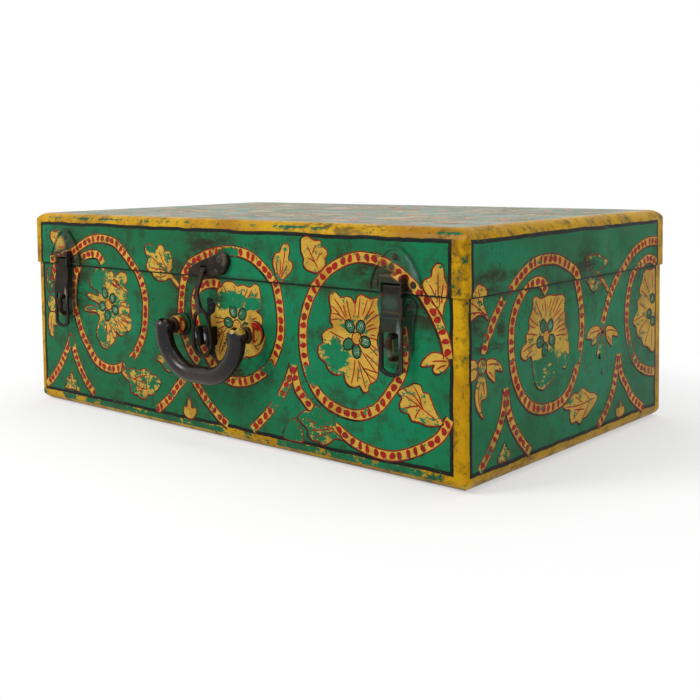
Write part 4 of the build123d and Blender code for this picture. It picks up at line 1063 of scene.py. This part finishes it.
    p.shape(
        [(263.8, 101), (263.8, 114), (262.5, 120.5), (256.5, 119.5), (248.6, 120.4), (242.9, 118),
         (240.5, 111.5), (236.4, 106), (236.6, 99.8), (233, 96.6), (233, 90), (227.5, 85.6),
         (225.7, 80.9), (230.8, 76.9), (232.9, 70.9), (240, 66.8), (244.3, 60.9), (251.4, 59.2),
         (258.6, 54.4), (263.8, 56.6), (263.8, 80)],
        wear=0.27,
        veins=[[(238, 105), (247, 101), (253, 96)], [(244, 116), (249, 108), (254, 101)],
               [(235, 95), (243, 92), (249, 89)], [(228, 82), (238, 84), (247, 85)],
               [(234, 72), (242, 77), (250, 81)], [(246, 63), (251, 70), (255, 76)],
               [(258, 58), (258, 66), (259, 73)], [(258, 117), (259, 110), (260, 103)]],
    )
    for x, z in ((259, 96.6), (253.6, 85), (260, 78.5)):
        p.petal(oval((x, z), 4.4, 3.9, 12))
        for side in (-1.2, 0.4):
            p.stroke([(x + side, z - 2.4), (x + side * 1.3, z), (x + side, z + 2.4)],
                     0.8, "pale", 0.4, taper=1.0)
    p.fill([(263.9, 92.5), (261, 91), (259.6, 88.5), (261, 86), (263.9, 84.6)], "centre", 0.1)
    p.shape(
        [(147.9, 133.7), (151.4, 137.9), (158.6, 138), (165.7, 138.5), (171.4, 135.9), (180, 133),
         (177, 129.4), (168, 126.5), (170, 121.5), (177, 119.4), (181.4, 115), (187.5, 109),
         (182.9, 109.2), (175.7, 115.9), (168.6, 113.5), (161.4, 110.7), (157, 113.9), (153, 118),
         (149, 121.5), (158, 124.5)],
        wear=0.42,
        veins=[[(184, 111), (170, 120), (155, 134)], [(170, 120), (164, 117), (156, 117.5)]],
    )
    p.band(
        [(201.4, 60), (197, 46.6), (192.9, 35), (184.3, 23.7), (177, 16.6), (169, 12.3)],
        width=6.8, wear=0.28, gap=6.2,
    )
    p.band(
        [(201.4, 60), (205.7, 45), (214.3, 35), (222.9, 25), (232.9, 18), (243, 12.3)],
        width=6.8, wear=0.26, gap=6.2,
    )
    p.shape(
        [(198, 14), (197.5, 18), (200, 20), (202.8, 19), (204, 25), (206, 24.6), (207, 19.6),
         (210.5, 19.4), (212, 15), (207.5, 12.2), (201.5, 12.2)],
        wear=0.27,
    )


X, Y, Z = Vector((1, 0, 0)), Vector((0, 1, 0)), Vector((0, 0, 1))
# How far the base's faces lie behind the lid's.
BEHIND = 0.0015
# The flat part of the front and of the sides, between the folds, and how far behind the front fold
# the side's pattern starts, in mm.
FRONT_LIMITS = (-222.4, 222.4)
SIDE_LIMITS = (5.6, 274.4)
SIDE_SHIFT = 2.6
# The top's two rows: the front's pattern made a little smaller, and its distance from the edge in mm.
TOP_WIDTH_SHARE = 0.96
TOP_HEIGHT_SHARE = 0.80
TOP_START = 8
for name, turn in (("front", 1), ("back", -1)):
    face = Painting()
    front_pattern(face)
    corner = Vector((0, FRONT * turn, 0))
    face.lay_on(name, corner, X * turn, Z, -Y * turn, "lid", "base", FRONT_LIMITS, BEHIND)
for name, side in (("right", 1), ("left", -1)):
    face = Painting()
    right_pattern(face)
    for v in face.bm.verts:
        v.co.x += SIDE_SHIFT
    corner = Vector((RIGHT * side, FRONT, 0))
    face.lay_on(name, corner, Y, Z, X * side, "lid", "base", SIDE_LIMITS, BEHIND)
for name, turn in (("near", 1), ("far", -1)):
    row = Painting()
    front_pattern(row)
    for v in row.bm.verts:
        v.co.x *= TOP_WIDTH_SHARE
        v.co.y = TOP_START + v.co.y * TOP_HEIGHT_SHARE
    corner = Vector((0, FRONT * turn, TOP))
    row.lay_on(f"top_{name}", corner, X * turn, Y * turn, Z, "lid", None, FRONT_LIMITS)


# ---------------------------------------------------------------- plates under the side hasps
# Pressed iron plates riveted over the seam before the trunk was painted, so the green ground and the
# scroll bands run over them. Round the hoods the paint is rubbed through to dark iron and grime; the
# hoods' right sides are painted dark as painted shade, and the right plate's bead has painted highlights.
DARK_IRON = shade(26, 21, 16)
BROWN_IRON = shade(52, 41, 29)
GREEN_IRON = shade(30, 43, 34)
RUST = shade(84, 46, 26)
BLUE_STEEL_HIGHLIGHT = shade(122, 142, 146)


def make_scroll():
    """A round scroll band painted over iron: masks of its cream, its dark edges and its red dots."""
    inputs = [("Centre", "NodeSocketVector")]
    inputs += [(label, "NodeSocketFloat") for label in ("Radius", "Dots", "Phase")]
    outputs = [(label, "NodeSocketFloat") for label in ("Band", "Edge", "Dots")]
    tree, given, out = group("scroll_over_iron", inputs, outputs)
    given = given.outputs
    place = object_place(tree)
    x, _, z = split(tree, vector_node(tree, "SUBTRACT", place, given["Centre"]))
    flat = add(tree, "ShaderNodeCombineXYZ", {0: x, 2: z}).outputs[0]
    across = minus(tree, length(tree, flat), given["Radius"])
    side = math_node(tree, "ABSOLUTE", across)
    band = remap(tree, side, 0.0035, 0.0032)
    edge = remap(tree, math_node(tree, "ABSOLUTE", minus(tree, side, 0.0036)), 0.0007, 0.0004)
    turns = math_node(tree, "DIVIDE", math_node(tree, "ARCTAN2", z, x), 2 * math.pi)
    turns = plus(tree, times(tree, turns, given["Dots"]), given["Phase"])
    along = minus(tree, math_node(tree, "FRACT", turns), 0.5)
    along = math_node(tree, "DIVIDE", times(tree, along, 2 * math.pi), given["Dots"])
    along = times(tree, along, given["Radius"])
    spot = add(tree, "ShaderNodeCombineXYZ", {0: along, 1: across}).outputs[0]
    dots = remap(tree, length(tree, spot), 0.0026, 0.0022)
    for label, value in (("Band", band), ("Edge", edge), ("Dots", dots)):
        tree.links.new(value, out.inputs[label])
    return tree


scroll_group = make_scroll()


def with_patches(tree, place, colour, patches):
    """Soft uneven patches of colour on the front: (x, z, reach along x, reach along z, colour, share)."""
    uneven = remap(tree, mottle(tree, place, 420, 4, 0.7), 0.30, 0.52, 0.35, 1)
    for x, z, reach_x, reach_z, tint, share in patches:
        mask = near_place(tree, place, (x, FRONT, z), (reach_x, 0.2, reach_z), 0.4)
        mask = times(tree, times(tree, mask, uneven), share)
        colour = blend(tree, mask, colour, tint)
    return colour


def overpainted_plate(name, scroll, patches, grime, wear=0.44):
    """The green ground and a scroll band over iron, grimy, with patches of rubbed iron and paint, and on
    some plates of painted shade and painted highlight.

    The scroll is (centre x, centre z, radius, dots in a full turn, phase of the dots).
    """
    material, tree, out = new_material(name)
    ground = add(tree, "ShaderNodeGroup", node_tree=green_group)
    place = object_place(tree)
    dirt = remap(tree, mottle(tree, place, 120, 5, 0.7), 0.40, 0.64, 0.1, grime)
    colour = blend(tree, dirt, ground.outputs["Color"], GRIME)
    x, z, radius, count, phase = scroll
    values = {"Centre": (x, 0, z), "Radius": radius, "Dots": count, "Phase": phase}
    masks = add(tree, "ShaderNodeGroup", values, node_tree=scroll_group).outputs
    left = remap(tree, mottle(tree, place, 210, 5, 0.7), wear - 0.05, wear)
    for label, paint in (("Band", CREAM), ("Dots", RED), ("Edge", RED_DEEP)):
        colour = blend(tree, times(tree, masks[label], left), colour, paint)
    colour = with_patches(tree, place, colour, patches)
    height = plus(tree, ground.outputs["Height"], times(tree, dirt, 0.1))
    finish_material(tree, out, colour, ground.outputs["Roughness"], height, specular=0.2)
    return material


HASP_LEFT = -0.18244
HASP_RIGHT = 0.17324
plate_right = overpainted_plate(
    "plate_right",
    (0.14299, 0.07632, 0.06881, 64.4, 0.617),
    (
        (HASP_RIGHT, 0.1275, 0.0100, 0.0050, DARK_IRON, 0.85),
        # painted shade on the right side of the hood
        (HASP_RIGHT + 0.0085, 0.1285, 0.0022, 0.0060, DARK_IRON, 0.95),
        (HASP_RIGHT - 0.0080, 0.1360, 0.0100, 0.0060, GRIME, 0.75),
        (HASP_RIGHT + 0.0100, 0.1240, 0.0040, 0.0030, GRIME, 0.80),
        # painted highlights, bluish, on the bead's right shoulder, where it is rubbed to bare steel
        (0.1900, 0.1400, 0.0045, 0.0075, BLUE_STEEL_HIGHLIGHT, 0.42),
        (0.1852, 0.1470, 0.0030, 0.0035, BLUE_STEEL_HIGHLIGHT, 0.38),
        (0.1760, 0.1450, 0.0022, 0.0022, GREEN_IRON, 0.60),
    ),
    0.35,
)
plate_left = overpainted_plate(
    "plate_left",
    (-0.20954, 0.22354, 0.09739, 97.1, 0.2),
    (
        (-0.1895, 0.1400, 0.0070, 0.0060, CREAM, 0.80),
        (-0.1880, 0.1372, 0.0050, 0.0010, RED, 0.8),
        (-0.1780, 0.1440, 0.0070, 0.0080, DARK_IRON, 0.70),
        (HASP_LEFT, 0.1315, 0.0110, 0.0040, DARK_IRON, 0.90),
        # painted shade on the right side of the hood
        (HASP_LEFT + 0.0085, 0.1270, 0.0040, 0.0080, DARK_IRON, 0.95),
        (HASP_LEFT - 0.0120, 0.1290, 0.0040, 0.0060, GRIME, 0.70),
    ),
    0.45,
)
base_right = overpainted_plate(
    "base_right",
    (0.13368, 0.08844, 0.0460, 41.3, 0.1),
    (
        (HASP_RIGHT + 0.0125, 0.1000, 0.0040, 0.0160, GREEN_IRON, 0.75),
        (HASP_RIGHT + 0.0130, 0.1120, 0.0045, 0.0060, DARK_IRON, 0.55),
        (HASP_RIGHT, 0.1000, 0.0070, 0.0200, DARK_IRON, 0.80),
        (HASP_RIGHT - 0.0045, 0.0840, 0.0020, 0.0090, CREAM_DEEP, 0.55),
        (0.1862, 0.0822, 0.0018, 0.0018, RUST, 0.80),
    ),
    0.60,
    0.48,
)
base_left = overpainted_plate(
    "base_left",
    (-0.11583, 0.09561, 0.05788, 57.7, 0.3),
    ((HASP_LEFT, 0.0980, 0.0110, 0.0260, DARK_IRON, 0.90),),
    0.60,
)
dress(plate_right, "lid_plate_right")
dress(plate_left, "lid_plate_left")
dress(base_right, "base_plate_right")
dress(base_left, "base_plate_left")


# ---------------------------------------------------------------- hasps, staples, rivets and hinges
# Forged and pressed iron, handled until little paint is left: brown-black in the hollows, dark
# green-grey on the right strap, with a few edges rubbed to blue steel. Painted highlights sit on those
# edges, on rivets and on the keeper, and the right strap's side is painted dark as painted shade.
def worn_iron(name, main, second, patches=(), rough=(0.38, 0.62), metal=0.12):
    """Dark iron with brown and rusty clouds, fine pits, rubbed patches, painted shade and painted highlights.
    """
    material, tree, out = new_material(name)
    place = object_place(tree)
    big = mottle(tree, place, 110, 6, 0.68)
    fine = mottle(tree, place, 800, 4, 0.6)
    colour = blend(tree, remap(tree, big, 0.40, 0.62), main, second)
    grain = remap(tree, fine, 0.56, 0.68, 0, 0.5)
    colour = blend(tree, grain, colour, second)
    rust = remap(tree, mottle(tree, place, 260, 5, 0.7), 0.60, 0.70, 0, 0.45)
    colour = blend(tree, rust, colour, RUST)
    pits = remap(tree, mottle(tree, place, 520, 3, 0.6), 0.64, 0.70)
    colour = blend(tree, times(tree, pits, 0.6), colour, DARK_IRON)
    colour = with_patches(tree, place, colour, patches)
    shine = remap(tree, mottle(tree, place, 150, 5, 0.6), 0.3, 0.7, rough[0], rough[1])
    height = plus(tree, times(tree, big, 0.5), times(tree, fine, 0.12))
    height = minus(tree, height, times(tree, pits, 0.15))
    finish_material(tree, out, colour, shine, height, metal=metal, specular=0.12, reach=0.0006)
    return material


hasp_right_iron = worn_iron(
    "hasp_right_iron",
    GREEN_IRON,
    shade(44, 55, 44),
    (
        (HASP_RIGHT, 0.1262, 0.0095, 0.0040, shade(34, 26, 18), 0.95),
        (HASP_RIGHT - 0.0010, 0.1165, 0.0060, 0.0042, shade(60, 76, 62), 0.80),
        (HASP_RIGHT, 0.1085, 0.0090, 0.0012, DARK_IRON, 0.90),
        (HASP_RIGHT, 0.1108, 0.0070, 0.0006, RUST, 0.60),
        # brown iron and painted shade down the strap's right side
        (HASP_RIGHT + 0.0075, 0.1150, 0.0022, 0.0090, BROWN_IRON, 0.90),
        (HASP_RIGHT, 0.0900, 0.0120, 0.0120, BROWN_IRON, 0.80),
        (HASP_RIGHT - 0.0080, 0.0850, 0.0022, 0.0180, DARK_IRON, 0.85),
        (HASP_RIGHT, 0.0705, 0.0110, 0.0020, DARK_IRON, 0.80),
        # a painted highlight, bluish, on the window's right rail, where it is rubbed to bare steel
        (HASP_RIGHT + 0.0062, 0.0960, 0.0016, 0.0085, BLUE_STEEL_HIGHLIGHT, 0.55),
    ),
)
hasp_left_iron = worn_iron(
    "hasp_left_iron",
    DARK_IRON,
    shade(40, 31, 23),
    # a painted highlight along the window's right rail
    ((HASP_LEFT + 0.0060, 0.0960, 0.0014, 0.0070, shade(150, 134, 128), 0.70),),
)
staple_iron = worn_iron(
    "staple_iron",
    DARK_IRON,
    BROWN_IRON,
    (
        # a painted highlight on the staple's eye
        (0.1703, 0.0935, 0.0016, 0.0020, shade(214, 198, 140), 0.90),
        (0.1725, 0.0845, 0.0050, 0.0026, shade(92, 100, 84), 0.80),
        (-0.1835, 0.0800, 0.0020, 0.0020, CREAM_DEEP, 0.80),
    ),
    (0.28, 0.50),
)
dark_iron = worn_iron(
    "dark_iron",
    shade(28, 22, 17),
    shade(50, 41, 32),
    (
        # a painted highlight on the rim of the middle plate's right lobe
        (0.0160, 0.1370, 0.0030, 0.0050, shade(104, 98, 84), 0.50),
        (-0.0060, 0.1180, 0.0050, 0.0060, BROWN_IRON, 0.70),
        (-0.0060, 0.0960, 0.0020, 0.0140, shade(92, 84, 74), 0.45),
    ),
    (0.34, 0.58),
)
brown_iron = worn_iron(
    "brown_iron",
    shade(50, 44, 32),
    shade(74, 66, 50),
    # a painted highlight on a rivet by the middle plate
    ((0.0119, 0.1273, 0.0020, 0.0020, shade(168, 158, 132), 0.90),),
)
keeper_iron = worn_iron(
    "keeper_iron",
    DARK_IRON,
    shade(44, 36, 30),
    (
        # painted highlights, bluish, on the keeper's two rounded sides
        (-0.0094, 0.0789, 0.0017, 0.0026, shade(150, 168, 176), 0.90),
        (0.0009, 0.0788, 0.0017, 0.0026, shade(150, 168, 176), 0.90),
    ),
    (0.26, 0.45),
)
dress(hasp_right_iron, "hasp_right")
dress(hasp_left_iron, "hasp_left")
dress(staple_iron, "staple_left", "staple_right")
dress(dark_iron, "hasp_centre", "lid_plate_centre", "hasp_pin_centre", "hasp_pin_left", "hasp_pin_right",
      "hinge_pin_left", "hinge_pin_right", "handle_pins")
dress(brown_iron, "lid_plate_rivets", "base_plate_rivets", "hinge_base_rivets", "hinge_lid_rivets",
      "hinge_base_leaf_left", "hinge_base_leaf_right", "hinge_lid_leaf_left", "hinge_lid_leaf_right")
dress(keeper_iron, "keeper_centre")


# ---------------------------------------------------------------- stay and inner strips
# What the closed trunk hides: the zinc-plated stay with its studs and the posts' backing plates, and
# the tongue strips of thinly painted tin.
def dull_zinc():
    """Zinc plate gone grey, with fine scratches and a dull film."""
    material, tree, out = new_material("dull_zinc")
    place = object_place(tree)
    cloud = mottle(tree, place, 120, 5, 0.65)
    lines = mottle(tree, stretched(tree, place, (900, 900, 60)), 1.0, 3, 0.6)
    colour = blend(tree, remap(tree, cloud, 0.42, 0.64), shade(161, 161, 159), shade(123, 123, 121))
    rough = remap(tree, lines, 0.3, 0.7, 0.35, 0.6)
    finish_material(tree, out, colour, rough, lines, metal=0.9, specular=0.5, reach=0.0001)
    return material


def inner_paint():
    """The thin green paint of the strips, with tin showing through."""
    material, tree, out = new_material("strip_paint")
    ground = add(tree, "ShaderNodeGroup", node_tree=green_group)
    place = object_place(tree)
    thin = remap(tree, mottle(tree, place, 80, 5, 0.7), 0.56, 0.62)
    colour = blend(tree, thin, ground.outputs["Color"], BARE_TIN)
    finish_material(tree, out, colour, ground.outputs["Roughness"], ground.outputs["Height"])
    return material


dress(dull_zinc(), "stay_arm", "stay_stud", "stay_pivot", "handle_backing_plates")
dress(inner_paint(), "rim_strip_front", "rim_strip_back", "rim_strip_left", "rim_strip_right")


# ---------------------------------------------------------------- drop handle and its posts
# A cast iron drop handle, japanned dark brown and polished by hands, on two turned posts. The
# ornament was painted over the posts' feet, and their fronts are worn to brown iron.
POST_LEFT = -0.03475
POST_RIGHT = 0.04375
POST_Z = 0.084
POST_BODY_END = -0.1477
POST_FLANGE_END = -0.1418
POST_RING_Y = -0.1446


def japanned_iron():
    """Dark brown varnish over iron, glossy, browner along the grip, with splashes of border paint."""
    material, tree, out = new_material("handle_japan")
    place = object_place(tree)
    big = mottle(tree, place, 60, 5, 0.6)
    fine = mottle(tree, place, 900, 3, 0.6)
    colour = blend(tree, remap(tree, big, 0.40, 0.64), shade(12, 8, 7), shade(28, 19, 15))
    low = remap(tree, split(tree, place)[2], 0.060, 0.048)
    rubbed = times(tree, low, remap(tree, big, 0.30, 0.6))
    colour = blend(tree, times(tree, rubbed, 0.7), colour, shade(52, 36, 28))
    pits = remap(tree, mottle(tree, place, 420, 4, 0.7), 0.62, 0.70)
    colour = blend(tree, times(tree, pits, 0.4), colour, shade(88, 62, 48))
    splashes = (
        (POST_RIGHT + 0.0010, 0.0900, 0.0034, 0.0026, CREAM, 0.95),
        (POST_RIGHT + 0.0062, 0.0880, 0.0020, 0.0018, CREAM, 0.90),
    )
    colour = with_patches(tree, place, colour, splashes)
    rough = remap(tree, mottle(tree, place, 90, 5, 0.6), 0.3, 0.7, 0.16, 0.34)
    height = plus(tree, times(tree, big, 0.8), times(tree, fine, 0.05))
    height = minus(tree, height, times(tree, pits, 0.10))
    finish_material(tree, out, colour, rough, height, specular=0.32, reach=0.0008)
    return material


def painted_post(name, x, flange_paint):
    """Cream and red paint on the post's foot and flange, worn to brown iron towards its front."""
    material, tree, out = new_material(name)
    place = object_place(tree)
    big = mottle(tree, place, 140, 5, 0.7)
    depth = split(tree, place)[1]
    iron = blend(tree, remap(tree, big, 0.4, 0.62), shade(62, 34, 24), BROWN_IRON)
    ragged = times(tree, minus(tree, big, 0.5), 0.004)
    depth = plus(tree, depth, ragged)
    # a red spiral on the flange
    offset = vector_node(tree, "SUBTRACT", place, (x, 0, POST_Z))
    away = length(tree, vector_node(tree, "MULTIPLY", offset, (1, 0, 1)))
    across, _, up = split(tree, offset)
    spiral = plus(tree, times(tree, away, 900), math_node(tree, "ARCTAN2", up, across))
    spiral = remap(tree, math_node(tree, "SINE", spiral), 0.2, 0.6)
    # a red ring on the side of the foot
    offset = vector_node(tree, "SUBTRACT", place, (x, POST_RING_Y, POST_Z))
    side_ring = length(tree, vector_node(tree, "MULTIPLY", offset, (0, 430, 190)))
    side_ring = remap(tree, math_node(tree, "ABSOLUTE", minus(tree, side_ring, 1.0)), 0.36, 0.22)
    body = blend(tree, side_ring, CREAM, RED)
    body = blend(tree, remap(tree, big, 0.56, 0.62, 0, 0.8), body, RED_DEEP)
    flange = blend(tree, spiral, *flange_paint)
    on_flange = remap(tree, depth, POST_FLANGE_END - 0.0012, POST_FLANGE_END - 0.0006)
    colour = blend(tree, remap(tree, depth, POST_BODY_END, POST_BODY_END + 0.0008), iron, body)
    colour = blend(tree, on_flange, colour, flange)
    colour = blend(tree, remap(tree, away, 0.0084, 0.0088), colour, DARK)
    metal = remap(tree, depth, POST_BODY_END, POST_BODY_END + 0.0008, 0.4, 0.0)
    finish_material(tree, out, colour, remap(tree, big, 0.3, 0.7, 0.35, 0.55), big, metal=metal, reach=0.0004)
    return material


dress(japanned_iron(), "handle")
dress(painted_post("post_left_paint", POST_LEFT, (GRIME, GREEN_DARK)), "handle_post_left")
dress(painted_post("post_right_paint", POST_RIGHT, (CREAM, RED)), "handle_post_right")


# ---------------------------------------------------------------- floor, light and camera
# A plain pale floor, soft light from above and both sides, and the photograph's viewing angle.
# The camera fitted to the photograph's straight edges: picture side, focal length and principal point
# in pixels, its place in metres, its angles in radians and its sensor's width in mm.
IMAGE = 700
FOCAL_PX = 1086.1
CENTRE_PX = (312.7, 235.3)
CAMERA = Vector((0.5962, -0.6911, 0.2062))
YAW, PITCH, ROLL = -0.731, -0.066, -0.013
SENSOR = 36.0
# The floor shows the shadow out to this reach, in metres. Near the trunk this share of it is plain
# white for the camera, and past this part of the reach the share grows until all of it is.
SHADOW_REACH = (0.50, 0.42, 1.0)
WHITE_SHARE = 0.50
WHITE_FROM = 0.55
# The world as the camera and mirrors see it, and as it lights the trunk.
WORLD_SEEN = 1.0
WORLD_LIGHT = 0.44


def seen_plainly(tree):
    """1 for what the camera sees, straight, in a mirror or through glass."""
    path = add(tree, "ShaderNodeLightPath").outputs
    return most(tree, [path["Is Camera Ray"], path["Is Glossy Ray"], path["Is Transmission Ray"]])


def white_for_camera(name, grey):
    """A pale floor that keeps the trunk's shadow and runs out to plain white for the camera."""
    material, tree, out = new_material(name)
    place = object_place(tree)
    grain = remap(tree, mottle(tree, place, 3, 3, 0.5), 0.3, 0.7, grey - 0.01, grey + 0.01)
    colour = add(tree, "ShaderNodeCombineColor", {0: grain, 1: grain, 2: grain}).outputs[0]
    shader = add(tree, "ShaderNodeBsdfPrincipled", {"Base Color": colour, "Roughness": 0.9})
    shader.inputs["Specular IOR Level"].default_value = 0.0
    white = add(tree, "ShaderNodeEmission", {"Color": (1, 1, 1, 1), "Strength": 1.0})
    distance = length(tree, vector_node(tree, "DIVIDE", place, SHADOW_REACH))
    share = remap(tree, distance, WHITE_FROM, 1.0, WHITE_SHARE, 1)
    mix = add(tree, "ShaderNodeMixShader", {0: times(tree, share, seen_plainly(tree))})
    tree.links.new(shader.outputs[0], mix.inputs[1])
    tree.links.new(white.outputs[0], mix.inputs[2])
    tree.links.new(mix.outputs[0], out.inputs[0])
    return material


floor_mesh = bmesh.new()
bmesh.ops.create_grid(floor_mesh, x_segments=8, y_segments=8, size=6.0)
floor_data = bpy.data.meshes.new("floor")
floor_mesh.to_mesh(floor_data)
floor_mesh.free()
floor = bpy.data.objects.new("floor", floor_data)
bpy.context.scene.collection.objects.link(floor)
floor_data.materials.append(white_for_camera("floor_white", 0.97))

world = bpy.data.worlds.new("studio")
bpy.context.scene.world = world
world.use_nodes = True
tree = world.node_tree
tree.nodes.clear()
strength = remap(tree, seen_plainly(tree), 0, 1, WORLD_LIGHT, WORLD_SEEN)
sky = add(tree, "ShaderNodeBackground", {"Color": (1, 1, 1, 1), "Strength": strength})
tree.links.new(sky.outputs[0], add(tree, "ShaderNodeOutputWorld").inputs[0])


def softbox(name, place, target, size, power):
    """A large soft lamp aimed at a point."""
    lamp = bpy.data.lights.new(name, "AREA")
    lamp.shape = "RECTANGLE"
    lamp.size, lamp.size_y = size
    lamp.energy = power
    light = bpy.data.objects.new(name, lamp)
    light.location = place
    light.rotation_euler = (Vector(target) - Vector(place)).to_track_quat("-Z", "Y").to_euler()
    bpy.context.scene.collection.objects.link(light)


softbox("key", (-0.9, -1.6, 1.5), (0, 0, 0.08), (0.9, 0.8), 26)
softbox("fill", (1.9, -0.6, 0.9), (0, 0, 0.08), (1.0, 1.0), 2)
softbox("overhead", (0.0, 0.5, 2.0), (0, 0, 0.1), (1.6, 1.6), 16)

camera_data = bpy.data.cameras.new("camera")
camera_data.sensor_width = SENSOR
camera_data.lens = FOCAL_PX / IMAGE * SENSOR
camera_data.shift_x = (IMAGE / 2 - CENTRE_PX[0]) / IMAGE
camera_data.shift_y = (CENTRE_PX[1] - IMAGE / 2) / IMAGE
camera_data.clip_start = 0.01
camera = bpy.data.objects.new("camera", camera_data)
forward = Vector((math.cos(PITCH) * math.sin(YAW), math.cos(PITCH) * math.cos(YAW), math.sin(PITCH)))
sideways = forward.cross(Z).normalized()
down = forward.cross(sideways)
turn_x = sideways * math.cos(ROLL) - down * math.sin(ROLL)
turn_y = -(sideways * math.sin(ROLL) + down * math.cos(ROLL))
camera.matrix_world = Matrix.Translation(CAMERA) @ Matrix((turn_x, turn_y, -forward)).transposed().to_4x4()
bpy.context.scene.collection.objects.link(camera)
bpy.context.scene.camera = camera
bpy.context.scene.view_settings.view_transform = "Standard"
